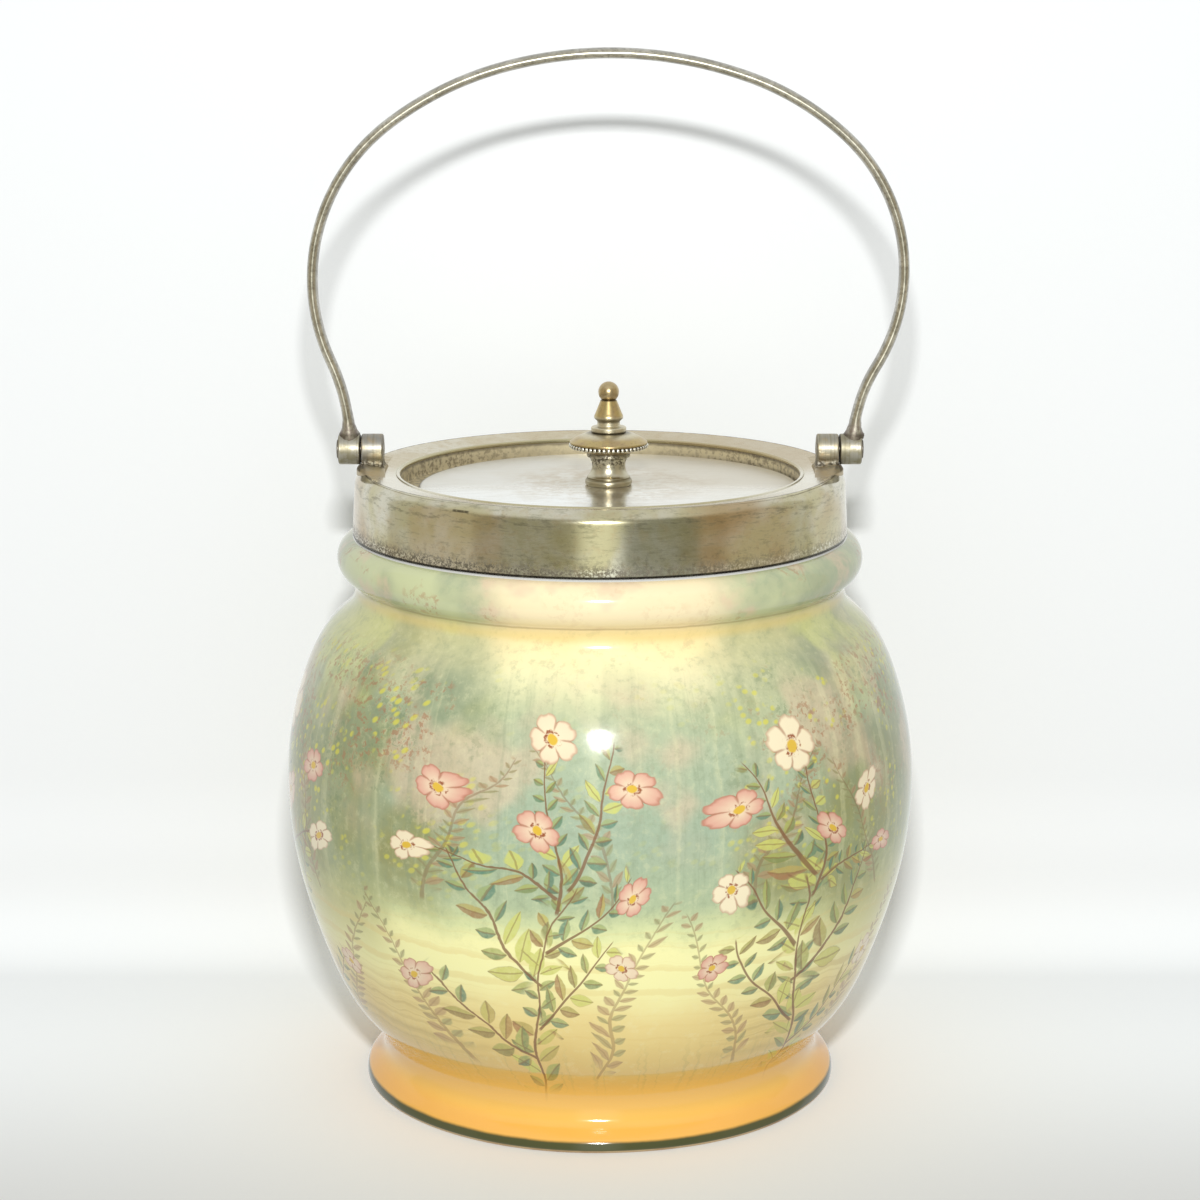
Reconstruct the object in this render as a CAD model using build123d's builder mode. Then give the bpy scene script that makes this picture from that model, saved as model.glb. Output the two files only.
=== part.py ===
"""Biscuit jar: a glazed earthenware barrel with a plated collar, a drop-in lid and a swing handle.

Millimetres, +Z up.  The origin is the centre of the foot, on the surface that the jar stands on.
The handle swings about an axis along X, and the front of the jar faces -Y.
"""

import os
from math import cos, radians, sin, tan

from build123d import *

# ---------------------------------------------------------------- driving dimensions: the pot
foot_radius = 59.0
foot_round = 1.0
foot_waist_radius = 54.3  # narrowest place, where the belly meets the flared foot
foot_waist_height = 9.0
belly_radius = 77.5
belly_height = 79.0  # height of the widest place
groove_radius = 60.1  # narrowest place, between the belly and the shoulder roll
groove_height = 125.3
roll_end_radius = 60.4  # where the shoulder roll turns in under the collar
roll_end_height = 138.4
neck_radius = 57.0
neck_foot_height = 139.7
rim_height = 150.5
rim_round = 1.2
mouth_radius = 51.5  # bore of the earthenware neck
wall = 5.1
floor_top = 10.5
foot_ring_width = 7.0
recess_depth = 3.2  # hollow under the base

# ---------------------------------------------------------------- driving dimensions: the collar
sheet = 0.8  # thickness of the plated metal
collar_bottom = 139.0
collar_radius_bottom = 60.5
collar_radius_top = 59.9
shoulder_start = 151.0  # where the band begins to turn in
flange_radius = 57.4  # the seam between band and top ring
flange_height = 154.4
flange_low = 153.2  # the flange slopes down to the rolled lip
lip_wire_radius = 0.6
lip_radius = 49.3  # centre line of the rolled lip round the opening
lip_height = 152.95
seat_wall_radius = 48.8
seat_top = 148.8  # the ledge that the lid rests on
ledge_radius = 43.2
plaster_bottom = 140.2
plaster_inner_radius = 52.0
section_reach = collar_radius_bottom + 5  # beyond the collar's section, for trimming it
section_top = flange_height + 5

# ---------------------------------------------------------------- driving dimensions: lid and knob
lid_offset = 2.1  # the loose lid lies a little to one side of the opening
lid_radius = 46.3
lid_thickness = 1.2
lid_top = seat_top + lid_thickness
lid_edge_round = 0.25
stud_radius = 2.0
stud_hole_radius = 2.05
stud_bottom = 144.6
stud_top = 166.9
washer_radius = 5.0
washer_thickness = 0.8
nut_across_flats = 7.0
nut_height = 2.4
pedestal_top = 158.0
dome_radius = 9.45
dome_top = 163.0
bead_count = 52
bead_radius = 0.55
bead_circle_radius = 9.2
bead_wire_radius = 0.42
bead_height = 159.75
bead_seat_radius = 8.8
ball_radius = 2.53
ball_height = 172.87

# ---------------------------------------------------------------- driving dimensions: hinge and handle
hinge_height = 158.8
knuckle_radius = 3.75
knuckle_round = 0.4
bracket_knuckle_start = 52.8
bracket_knuckle_end = 58.15
handle_knuckle_start = 58.4
handle_knuckle_end = 63.75
pin_radius = 1.5
pin_clearance = 0.05
pin_head_radius = 2.3
pin_head_thickness = 0.35
saddle_thickness = 1.0
saddle_half_length = 20.5
saddle_bottom = 147.0
saddle_tip = 51.0  # X of the saddle's pointed ends
saddle_inside = 52.2
saddle_outside = 59.4
swing_clearance = 0.4  # round the handle's knuckle, where it turns over the saddle
saddle_neck_depth = 4.8  # size of the saddle's neck along Y, where it meets the knuckle
saddle_neck_flare = 24.0  # degrees
wire_width = 4.6  # oval handle wire: across the bow's plane, and in it
wire_thickness = 2.6
bow_start = (-61.0, 161.0)
bow_heading = 90.8  # degrees from +X, at the start of the left leg
# Bends of the handle wire from left to right: (radius, degrees), a left turn counted positive.
bow_bends = [(49, 23.3), (47, -76.7), (80, -22.8), (99, -34.5), (68, -22.8), (44, -78.4), (36, 30.0)]
leg_foot_width = 4.9  # the wire's ends are spread where they are soldered to the knuckles
leg_foot_depth = 5.6
leg_foot_height = 1.6  # above the hinge axis
leg_flare_height = 6.6

os.makedirs("parts", exist_ok=True)


def save(piece, name):
    """Label a finished piece and write it as its own STEP file."""
    piece.part.label = name
    export_step(piece.part, f"parts/{name}.step")
    print(name, "solids", len(piece.part.solids()), "volume", round(piece.part.volume, 1))


def side_name(side):
    """Name of the side at -X or +X."""
    return "left" if side < 0 else "right"


# ---------------------------------------------------------------- jar body
# One turned section: foot, belly, groove, shoulder roll and the neck that the collar hides.
with BuildPart() as jar_body:
    with BuildSketch(Plane.XZ):
        with BuildLine():
            base = Line((foot_radius - foot_ring_width, 0), (foot_radius - foot_round, 0))
            edge = TangentArc(base @ 1, (foot_radius, foot_round), tangent=(1, 0))
            flare = Spline(
                edge @ 1,
                (56.7, 4.5),
                (foot_waist_radius, foot_waist_height),
                tangents=[(0, 1), (0, 1)],
            )
            belly = Spline(
                flare @ 1,
                (59.6, 18.5),
                (68.9, 35.6),
                (75.6, 58.5),
                (belly_radius, belly_height),
                (73.4, 102.7),
                (64.6, 118.3),
                (groove_radius, groove_height),
                tangents=[(0, 1), (0, 1)],
            )
            groove = TangentArc(belly @ 1, (61.7, 128.2), tangent=(0, 1))
            roll = TangentArc(groove @ 1, (roll_end_radius, roll_end_height), tangent=groove % 1)
            shelf = Line(roll @ 1, (neck_radius, neck_foot_height))
            neck = Line(shelf @ 1, (neck_radius, rim_height - rim_round))
            rim_out = TangentArc(neck @ 1, (neck_radius - rim_round, rim_height), tangent=(0, 1))
            rim = Line(rim_out @ 1, (mouth_radius + rim_round, rim_height))
            rim_in = TangentArc(rim @ 1, (mouth_radius, rim_height - rim_round), tangent=(-1, 0))
            bore = Line(rim_in @ 1, (mouth_radius, roll_end_height))
            inside = Spline(
                bore @ 1,
                (54.8, 126.0),
                (59.6, 116.5),
                (belly_radius - wall - 3.9, 101.0),
                (belly_radius - wall, belly_height),
                (70.4, 57.5),
                (63.6, 36.0),
                (54.0, 19.5),
                (42.0, floor_top),
                tangents=[(0, -1), (-1, 0)],
            )
            floor = Line(inside @ 1, (0, floor_top))
            axis_line = Line(floor @ 1, (0, recess_depth))
            recess = Line(axis_line @ 1, (foot_radius - foot_ring_width - 1.5, recess_depth))
            Line(recess @ 1, base @ 0)
        make_face()
    revolve(axis=Axis.Z)
save(jar_body, "jar_body")


# ---------------------------------------------------------------- collar
def collar_section(inset):
    """Half section of all that lies inside the collar's skin, moved in by inset from the outside."""
    with BuildSketch() as section:
        with BuildLine():
            wall_line = Line(
                (collar_radius_bottom - inset, collar_bottom),
                (collar_radius_top - inset, shoulder_start),
            )
            shoulder = TangentArc(
                wall_line @ 1, (flange_radius, flange_height - inset), tangent=wall_line % 1
            )
            flange = Line(shoulder @ 1, (lip_radius, flange_low - inset))
            Polyline(flange @ 1, (lip_radius, collar_bottom), wall_line @ 0)
        make_face()
    return section.sketch


def rectangle_between(low, high, mode=Mode.ADD):
    """Rectangle in the section plane, from its low to its high corner."""
    centre = ((low[0] + high[0]) / 2, (low[1] + high[1]) / 2)
    with Locations(centre):
        Rectangle(high[0] - low[0], high[1] - low[1], mode=mode)


with BuildPart() as collar_band:
    with BuildSketch(Plane.XZ):
        add(collar_section(0))
        add(collar_section(sheet), mode=Mode.SUBTRACT)
        rectangle_between((0, 0), (flange_radius, section_top), Mode.SUBTRACT)
    revolve(axis=Axis.Z)
save(collar_band, "collar_band")

with BuildPart() as collar_top_ring:
    with BuildSketch(Plane.XZ):
        add(collar_section(0))
        add(collar_section(sheet), mode=Mode.SUBTRACT)
        rectangle_between((flange_radius, 0), (section_reach, section_top), Mode.SUBTRACT)
        with Locations((lip_radius, lip_height)):
            Circle(lip_wire_radius)
    revolve(axis=Axis.Z)
save(collar_top_ring, "collar_top_ring")

with BuildPart() as lid_seat_ring:
    with BuildSketch(Plane.XZ):
        rectangle_between((seat_wall_radius, seat_top - sheet), (seat_wall_radius + sheet, lip_height))
        rectangle_between((ledge_radius, seat_top - sheet), (seat_wall_radius + sheet, seat_top))
        with Locations((lip_radius, lip_height)):
            Circle(lip_wire_radius, mode=Mode.SUBTRACT)
    revolve(axis=Axis.Z)
save(lid_seat_ring, "lid_seat_ring")

with BuildPart() as plaster_bed:
    with BuildSketch(Plane.XZ):
        add(collar_section(sheet))
        rectangle_between((0, 0), (plaster_inner_radius, section_top), Mode.SUBTRACT)
        rectangle_between((0, 0), (neck_radius, rim_height), Mode.SUBTRACT)
        rectangle_between((0, 0), (section_reach, plaster_bottom), Mode.SUBTRACT)
    revolve(axis=Axis.Z)
save(plaster_bed, "plaster_bed")


# ---------------------------------------------------------------- lid
with BuildPart() as lid_disc:
    with BuildSketch(Plane.XY.offset(seat_top)):
        with Locations((lid_offset, 0)):
            Circle(lid_radius)
            Circle(stud_hole_radius, mode=Mode.SUBTRACT)
    extrude(amount=lid_thickness)
    outer_edges = lid_disc.edges().filter_by(GeomType.CIRCLE).sort_by(SortBy.RADIUS)[-2:]
    fillet(outer_edges, lid_edge_round)
save(lid_disc, "lid_disc")

# ---------------------------------------------------------------- knob
# The knob's pieces are turned about one axis and threaded on one stud.
knob_plane = Plane(origin=(lid_offset, 0, 0), x_dir=(1, 0, 0), z_dir=(0, -1, 0))
knob_axis = Axis((lid_offset, 0, 0), (0, 0, 1))

with BuildPart() as knob_pedestal:
    with BuildSketch(knob_plane):
        with BuildLine():
            foot_line = Line((stud_hole_radius, lid_top), (5.4, lid_top))
            foot_bulge = ThreePointArc(foot_line @ 1, (5.75, 150.8), (5.3, 151.7))
            step = Polyline(foot_bulge @ 1, (5.3, 152.1), (4.9, 152.4))
            waist = ThreePointArc(step @ 1, (4.05, 154.7), (4.5, 156.5))
            cup = Polyline(waist @ 1, (4.6, 156.8), (5.3, 157.1), (5.3, pedestal_top))
            Polyline(cup @ 1, (stud_hole_radius, pedestal_top), foot_line @ 0)
        make_face()
    revolve(axis=knob_axis)
save(knob_pedestal, "knob_pedestal")

with BuildPart() as knob_dome:
    with BuildSketch(knob_plane):
        with BuildLine():
            under = Polyline(
                (stud_hole_radius, dome_top),
                (stud_hole_radius, pedestal_top),
                (5.3, pedestal_top),
                (bead_seat_radius, bead_height - 0.45),
                (bead_seat_radius, bead_height + bead_radius),
                (dome_radius, bead_height + bead_radius),
                (dome_radius, 160.7),
            )
            crown = ThreePointArc(under @ 1, (7.2, 162.1), (4.3, dome_top))
            Line(crown @ 1, under @ 0)
        make_face()
    revolve(axis=knob_axis)
save(knob_dome, "knob_dome")

with BuildPart() as knob_bead_wire:
    with Locations((lid_offset, 0, bead_height)):
        Torus(bead_circle_radius, bead_wire_radius)
        with PolarLocations(bead_circle_radius, bead_count):
            Sphere(bead_radius)
        Cylinder(bead_seat_radius, 4 * bead_radius, mode=Mode.SUBTRACT)
save(knob_bead_wire, "knob_bead_wire")

with BuildPart() as knob_spire:
    with BuildSketch(knob_plane):
        with BuildLine():
            neck_line = Polyline(
                (0, stud_top + 0.1),
                (stud_hole_radius, stud_top + 0.1),
                (stud_hole_radius, dome_top),
                (4.1, dome_top),
                (4.3, 163.2),
                (4.3, 164.2),
                (4.0, 164.4),
                (2.8, 164.6),
                (2.75, 165.7),
                (3.55, 166.5),
                (3.55, 166.9),
                (1.95, 170.9),
            )
            ball = CenterArc((0, ball_height), ball_radius, -48, 138)
            Line(neck_line @ 1, ball @ 0)
            Line(ball @ 1, neck_line @ 0)
        make_face()
    revolve(axis=knob_axis)
save(knob_spire, "knob_spire")

with BuildPart() as knob_stud:
    with BuildSketch(Plane.XY.offset(stud_bottom)):
        with Locations((lid_offset, 0)):
            Circle(stud_radius)
    extrude(amount=stud_top - stud_bottom)
    chamfer(knob_stud.edges().filter_by(GeomType.CIRCLE), 0.4)
save(knob_stud, "knob_stud")

with BuildPart() as knob_washer:
    with BuildSketch(Plane.XY.offset(seat_top)):
        with Locations((lid_offset, 0)):
            Circle(washer_radius)
            Circle(stud_hole_radius, mode=Mode.SUBTRACT)
    extrude(amount=-washer_thickness)
save(knob_washer, "knob_washer")

with BuildPart() as knob_nut:
    with BuildSketch(Plane.XY.offset(seat_top - washer_thickness)):
        with Locations((lid_offset, 0)):
            RegularPolygon(nut_across_flats / 2, 6, major_radius=False)
            Circle(stud_hole_radius, mode=Mode.SUBTRACT)
    extrude(amount=-nut_height)
save(knob_nut, "knob_nut")


# ---------------------------------------------------------------- hinges
def knuckle(start, end, bore_radius):
    """Hinge tube along X from start to end, with its two outer corners rounded."""
    with BuildPart() as tube:
        with BuildSketch(Plane.YZ.offset(start)):
            with Locations((0, hinge_height)):
                Circle(knuckle_radius)
                Circle(bore_radius, mode=Mode.SUBTRACT)
        extrude(amount=end - start)
        rims = tube.edges().filter_by(GeomType.CIRCLE).sort_by(SortBy.RADIUS)[-2:]
        fillet(rims, knuckle_round)
    return tube


def hinge_pin(side):
    """Pin along X, tight in the bracket's knuckle, with its head outside the handle's knuckle."""
    head_start = handle_knuckle_end + pin_clearance
    with BuildPart() as pin:
        with BuildSketch(Plane.YZ.offset(side * bracket_knuckle_start)):
            with Locations((0, hinge_height)):
                Circle(pin_radius)
        extrude(amount=side * (head_start - bracket_knuckle_start))
        with BuildSketch(Plane.YZ.offset(side * head_start)):
            with Locations((0, hinge_height)):
                Circle(pin_head_radius)
        extrude(amount=side * pin_head_thickness)
        head_rim = pin.edges().filter_by(GeomType.CIRCLE).sort_by(Axis.X)[-1 if side > 0 else 0]
        fillet(head_rim, pin_head_thickness / 2)
    return pin


def bracket_foot(side):
    """Leaf-shaped saddle over the collar's shoulder, with a flared neck up to the bracket's knuckle."""
    leaf_ends = [(side * saddle_tip, -saddle_half_length), (side * saddle_tip, saddle_half_length)]
    knuckle_start = side * bracket_knuckle_start
    knuckle_length = side * (bracket_knuckle_end - bracket_knuckle_start)
    neck_top = hinge_height - knuckle_radius / 2
    flare = (neck_top - lip_height) * tan(radians(saddle_neck_flare))
    with BuildPart() as saddle:
        with BuildSketch(Plane.XZ):
            add(collar_section(-saddle_thickness))
        revolve(axis=Axis.Z)
        with BuildSketch(Plane.XY.offset(saddle_bottom)):
            with BuildLine():
                ThreePointArc(leaf_ends[0], (side * saddle_outside, 0), leaf_ends[1])
                ThreePointArc(leaf_ends[1], (side * saddle_inside, 0), leaf_ends[0])
            make_face()
        extrude(amount=2 * saddle_half_length, mode=Mode.INTERSECT)
        with BuildSketch(Plane.YZ.offset(knuckle_start)):
            with BuildLine():
                Polyline(
                    (saddle_neck_depth / 2, neck_top),
                    (saddle_neck_depth / 2 + flare, lip_height),
                    (-saddle_neck_depth / 2 - flare, lip_height),
                    (-saddle_neck_depth / 2, neck_top),
                    close=True,
                )
            make_face()
        extrude(amount=knuckle_length)
        with BuildSketch(Plane.XZ):
            add(collar_section(0))
        revolve(axis=Axis.Z, mode=Mode.SUBTRACT)
        with BuildSketch(Plane.YZ.offset(knuckle_start)):
            with Locations((0, hinge_height)):
                Circle(knuckle_radius)
        extrude(amount=knuckle_length, mode=Mode.SUBTRACT)
        with BuildSketch(Plane.YZ.offset(side * bracket_knuckle_end)):
            with Locations((0, hinge_height)):
                Circle(knuckle_radius + swing_clearance)
        extrude(amount=knuckle_length, mode=Mode.SUBTRACT)
    return saddle


for side in (-1, 1):
    bracket_ends = sorted((side * bracket_knuckle_start, side * bracket_knuckle_end))
    handle_ends = sorted((side * handle_knuckle_start, side * handle_knuckle_end))
    save(knuckle(*bracket_ends, pin_radius), f"bracket_knuckle_{side_name(side)}")
    save(knuckle(*handle_ends, pin_radius + pin_clearance), f"handle_knuckle_{side_name(side)}")
    save(hinge_pin(side), f"hinge_pin_{side_name(side)}")
    save(bracket_foot(side), f"bracket_foot_{side_name(side)}")

# ---------------------------------------------------------------- handle bow
with BuildPart() as handle_bow:
    with BuildLine(Plane.XZ) as bow_path:
        heading = (cos(radians(bow_heading)), sin(radians(bow_heading)))
        bend = JernArc(bow_start, heading, *bow_bends[0])
        for bend_radius, bend_angle in bow_bends[1:]:
            bend = JernArc(bend @ 1, bend % 1, bend_radius, bend_angle)
    wire = bow_path.wires()[0]
    with BuildSketch(Plane(origin=wire @ 0, x_dir=(0, 1, 0), z_dir=wire % 0)):
        Ellipse(wire_width / 2, wire_thickness / 2)
    sweep(path=wire)
    for side, leg_end in ((-1, wire @ 0), (1, wire @ 1)):
        foot_x = side * (handle_knuckle_start + handle_knuckle_end) / 2
        with BuildSketch(Plane.XY.offset(hinge_height + leg_foot_height)):
            with Locations((foot_x, 0)):
                Ellipse(leg_foot_width / 2, leg_foot_depth / 2)
        with BuildSketch(Plane.XY.offset(hinge_height + leg_flare_height)):
            with Locations((leg_end.X + side * 0.3, 0)):
                Ellipse(wire_thickness / 2, wire_width / 2)
        loft()
    with BuildSketch(Plane.YZ):
        with Locations((0, hinge_height)):
            Circle(knuckle_radius)
    extrude(amount=handle_knuckle_end + 5, both=True, mode=Mode.SUBTRACT)
save(handle_bow, "handle_bow")
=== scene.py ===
# %% [markdown]
# # A biscuit jar in glazed earthenware and worn silver plate
#
# The real object is a turned pot with a metal collar bedded on its neck, a loose metal lid with a
# turned knob, and a handle of bent wire that swings on two small hinges.  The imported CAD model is
# loaded first, as a fixed frame.  Everything below either gives a CAD piece its finish or builds a
# finer piece in the same place, so no piece is ever moved to fit.

# %% Load the frame
from cmath import phase
from functools import partialmethod
from math import cos, exp, hypot, pi, radians, sin, sqrt
from types import SimpleNamespace

import bmesh
import bpy
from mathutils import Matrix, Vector, noise
from mathutils.bvhtree import BVHTree


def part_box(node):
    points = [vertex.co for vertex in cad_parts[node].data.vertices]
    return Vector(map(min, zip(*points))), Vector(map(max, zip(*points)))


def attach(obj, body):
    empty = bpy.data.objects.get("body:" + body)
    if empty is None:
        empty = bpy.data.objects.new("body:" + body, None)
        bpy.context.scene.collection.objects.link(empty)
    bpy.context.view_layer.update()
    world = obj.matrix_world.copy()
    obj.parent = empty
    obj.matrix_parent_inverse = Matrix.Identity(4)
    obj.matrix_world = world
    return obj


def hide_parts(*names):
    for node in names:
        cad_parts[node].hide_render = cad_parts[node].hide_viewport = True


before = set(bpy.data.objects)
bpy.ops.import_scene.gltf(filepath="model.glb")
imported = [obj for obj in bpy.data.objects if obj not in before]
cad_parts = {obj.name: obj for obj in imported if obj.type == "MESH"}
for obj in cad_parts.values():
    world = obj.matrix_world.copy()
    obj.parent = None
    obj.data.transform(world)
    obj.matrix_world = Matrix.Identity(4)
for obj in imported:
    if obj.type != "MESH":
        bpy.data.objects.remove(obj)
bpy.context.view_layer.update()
MM = 0.001
tiny = 1e-6  # a length in metres that counts as nothing

# %% [markdown]
# ## Camera
#
# The jar is seen from a little above, from about 70 cm away, with a long lens.  A camera that tips
# down by a small angle keeps the foot, the collar and the lid as three ellipses of growing flatness.
# The numbers are a real place in the room and a real lens, so the jar keeps its proportions.

# %% Camera
camera_place = Vector((0.0, -712.9, 276.5)) * MM
camera_tip = radians(12.30)
lens_mm = 88.695

camera_data = bpy.data.cameras.new("camera")
camera_data.sensor_width = 36.0
camera_data.lens = lens_mm
camera = bpy.data.objects.new("camera", camera_data)
camera.location = camera_place
camera.rotation_euler = (pi / 2 - camera_tip, 0, 0)
bpy.context.scene.collection.objects.link(camera)
bpy.context.scene.camera = camera
bpy.context.scene.view_settings.view_transform = "Standard"

# %% [markdown]
# ## Arithmetic on a surface
#
# A procedural finish is a formula: where on the jar are we, and what colour belongs there?  Shader
# nodes can hold any formula, but long chains of Math nodes are hard to read as code.  The class
# below wraps a node's output, so that `a * b + 2` adds the nodes it stands for.  It is the same
# tree as one made by hand, and only easier to write down.


# %% A value that varies over the surface
def feed(value, socket):
    """Link a varying value to a socket, or write a plain number or colour into it."""
    value = getattr(value, "socket", value)
    if isinstance(value, bpy.types.NodeSocket):
        socket.id_data.links.new(value, socket)
        return
    size = len(socket.default_value) if hasattr(socket.default_value, "__len__") else 0
    if size and not hasattr(value, "__len__"):
        value = (value,) * size
    elif size == 4 and len(value) == 3:
        value = (*value, 1.0)
    socket.default_value = value


def made(tree, kind, inputs=None, family="ShaderNode", **settings):
    """A new node, with its settings and then its inputs filled in."""
    node = tree.nodes.new(family + kind)
    for name, value in settings.items():
        setattr(node, name, value)
    for place, value in (inputs or {}).items():
        feed(value, node.inputs[place])
    return node


class Varying:
    """A node output.  Arithmetic on it adds Math nodes to the same tree."""

    def __init__(self, socket):
        self.socket = socket
        self.tree = socket.id_data

    def math(self, operation, *others):
        values = dict(enumerate((self, *others)))
        return Varying(made(self.tree, "Math", values, operation=operation).outputs[0])

    __add__ = __radd__ = partialmethod(math, "ADD")
    __sub__ = partialmethod(math, "SUBTRACT")
    __mul__ = __rmul__ = partialmethod(math, "MULTIPLY")
    __truediv__ = partialmethod(math, "DIVIDE")
    __abs__ = partialmethod(math, "ABSOLUTE")

    def __rsub__(self, other):
        return self.math("MULTIPLY_ADD", -1.0, other)

    def root(self):
        return self.math("SQRT")

    def highest(self, other):
        return self.math("MAXIMUM", other)

    def above(self, low, high):
        """0 up to low, 1 from high on, and a soft step between them.  high may be the smaller one."""
        ends = {"Value": self, "From Min": low, "From Max": high}
        return Varying(made(self.tree, "MapRange", ends, interpolation_type="SMOOTHSTEP").outputs[0])

    def close_to(self, middle, none, full):
        """1 nearer than full to the middle, and 0 farther than none."""
        return abs(self - middle).above(none, full)

    def coat(self, amount, colour):
        """Lay another colour over this one, where amount is high."""
        self.socket = blend(amount, self, colour).socket


# %% [markdown]
# A few more words make the formulas short: a noise, a blend of two colours, a ramp of colours along
# a value, and the place on the object in millimetres.


# %% Nodes by name
def place_mm(tree):
    """The point on the object, in millimetres, as a vector and as x, y and z."""
    source = made(tree, "TexCoord").outputs["Object"]
    scale = made(tree, "VectorMath", {0: source, "Scale": 1 / MM}, operation="SCALE")
    return Varying(scale.outputs[0]), *parts_of(scale.outputs[0])


def parts_of(socket):
    split = made(socket.id_data, "SeparateXYZ", {0: socket})
    return [Varying(out) for out in split.outputs]


def vector_of(x, y, z):
    return Varying(made(x.tree, "CombineXYZ", {0: x, 1: y, 2: z}).outputs[0])


def noise_at(vector, scale, detail=3.0, roughness=0.5, distortion=0.0):
    """A cloudy value round 0.5.  scale is in lumps for each millimetre."""
    inputs = {"Vector": vector, "Scale": scale, "Detail": detail, "Roughness": roughness}
    inputs["Distortion"] = distortion
    return Varying(made(vector.tree, "TexNoise", inputs).outputs[0])


def noise_along(value, detail=3.0, roughness=0.5):
    """The same with one dimension: it changes along a value and nowhere else."""
    inputs = {"W": value, "Scale": 1.0, "Detail": detail, "Roughness": roughness}
    return Varying(made(value.tree, "TexNoise", inputs, noise_dimensions="1D").outputs[0])


def blend(amount, first, second):
    """From the first colour to the second one, by amount."""
    inputs = {0: amount, 6: first, 7: second}  # 6 and 7 are this node's colours, and so is output 2
    return Varying(made(amount.tree, "Mix", inputs, data_type="RGBA").outputs[2])


def ramp(value, stops):
    """Colours along a value: stops are (value from 0 to 1, colour), from low to high."""
    scale = made(value.tree, "ValToRGB")
    elements = scale.color_ramp.elements
    elements.remove(elements[1])
    elements[0].position = stops[0][0]
    elements[0].color = (*stops[0][1], 1.0)
    for position, colour in stops[1:]:
        elements.new(position).color = (*colour, 1.0)
    feed(value, scale.inputs[0])
    return Varying(scale.outputs[0])


def moved(vector, by):
    """The same point moved along all three axes, to look at another part of a noise."""
    inputs = {"Vector": vector, "Location": (by, by, by)}
    return Varying(made(vector.tree, "Mapping", inputs).outputs[0])


def bumped(height, distance_mm, strength=1.0):
    """A normal that is tilted by a height, given in steps of distance_mm."""
    inputs = {"Strength": strength, "Distance": distance_mm * MM, "Height": height}
    return Varying(made(height.tree, "Bump", inputs).outputs[0])


# %% [markdown]
# ## Stage and light
#
# White ware is usually shown on a white sheet that sweeps up behind it, with a small lamp above the
# lens that gives one crisp glint, and with white all round.  The room behind the camera is darker,
# and that is what gives the metal its contrast: polished metal shows nothing but its surroundings.
# The sheet is white for the camera, and lets all other light pass, so that it dulls no reflection.
# Away from the jar it fades into the white room, so no edge of it shows from any side, and a table
# top lies under it for a look from behind, where the standing part of the sheet is not seen.

# %% Sweep
sheet_wall = 0.110  # how far behind the jar's axis the sheet stands
sheet_bend = 0.045
sheet_half_width = 1.4
sheet_reach = 1.6
bend_steps = 16
table_drop = 0.0003


def stage_mesh(name, points, faces):
    """A plain mesh that belongs to the stage."""
    mesh = bpy.data.meshes.new(name)
    mesh.from_pydata(points, [], faces)
    sheet = bpy.data.objects.new(name, mesh)
    bpy.context.scene.collection.objects.link(sheet)
    return mesh


bend_start = sheet_wall - sheet_bend
sweep_line = [(-sheet_reach, 0.0), (bend_start, 0.0)]
for step in range(1, bend_steps + 1):
    angle = step / bend_steps * pi / 2
    sweep_line.append((bend_start + sheet_bend * sin(angle), sheet_bend - sheet_bend * cos(angle)))
sweep_line.append((sheet_wall, sheet_reach))
sweep_points = [(x, y, z) for y, z in sweep_line for x in (-sheet_half_width, sheet_half_width)]
sweep_faces = [(2 * i, 2 * i + 1, 2 * i + 3, 2 * i + 2) for i in range(len(sweep_line) - 1)]
sweep_mesh = stage_mesh("white_sheet", sweep_points, sweep_faces)
sweep_mesh.shade_smooth()
corners = [(-1, -1), (1, -1), (1, 1), (-1, 1)]
table_points = [(x * sheet_half_width, y * sheet_reach, -table_drop) for x, y in corners]
table_mesh = stage_mesh("table_top", table_points, [(0, 1, 2, 3)])


# %% White paper that keeps shadows
def sheet_material():
    """White for the camera, with the lamp's shadows, and clear for every other ray."""
    material = bpy.data.materials.new("white_paper")
    material.use_nodes = True
    tree = material.node_tree
    tree.nodes.clear()
    point, x, y, z = place_mm(tree)
    near = (x * x + y * y).root().above(520.0, 250.0) * z.above(520.0, 300.0)
    lying = z.above(30.0, 0.0)
    beside_jar = blend(lying, (0.975, 0.995, 1.0), (0.70, 0.70, 0.685))
    behind_jar = blend(z.above(-0.1, -0.2), (1.14, 1.17, 1.18), (1.26, 1.29, 1.30))
    tone = blend(lying * y.above(-130.0, 30.0), beside_jar, behind_jar)
    paper = made(tree, "BsdfDiffuse", {"Color": tone})
    clear = made(tree, "BsdfTransparent")
    seen = Varying(made(tree, "LightPath").outputs["Is Camera Ray"])
    back = Varying(made(tree, "NewGeometry").outputs["Backfacing"])
    shown = {0: seen * (1.0 - back) * near, 1: clear.outputs[0], 2: paper.outputs[0]}
    choose = made(tree, "MixShader", shown)
    made(tree, "OutputMaterial", {0: choose.outputs[0]})
    return material


white_paper = sheet_material()
sweep_mesh.materials.append(white_paper)
table_mesh.materials.append(white_paper)

# %% Surroundings
world = bpy.data.worlds.new("white_room")
bpy.context.scene.world = world
world.use_nodes = True
world.cycles.sampling_method = "NONE"  # the light-path switches below need rays that arrive
sky = world.node_tree
sky.nodes.clear()
east, north, up = parts_of(made(sky, "TexCoord").outputs["Generated"])
front = (north * -1.0) / (east * east + north * north).root()
west = east.above(0.02, -0.02)
brown = blend(west, (0.54, 0.46, 0.345), (0.45, 0.38, 0.275))
dark = blend(west, (0.33, 0.335, 0.27), (0.40, 0.385, 0.285))
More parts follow.
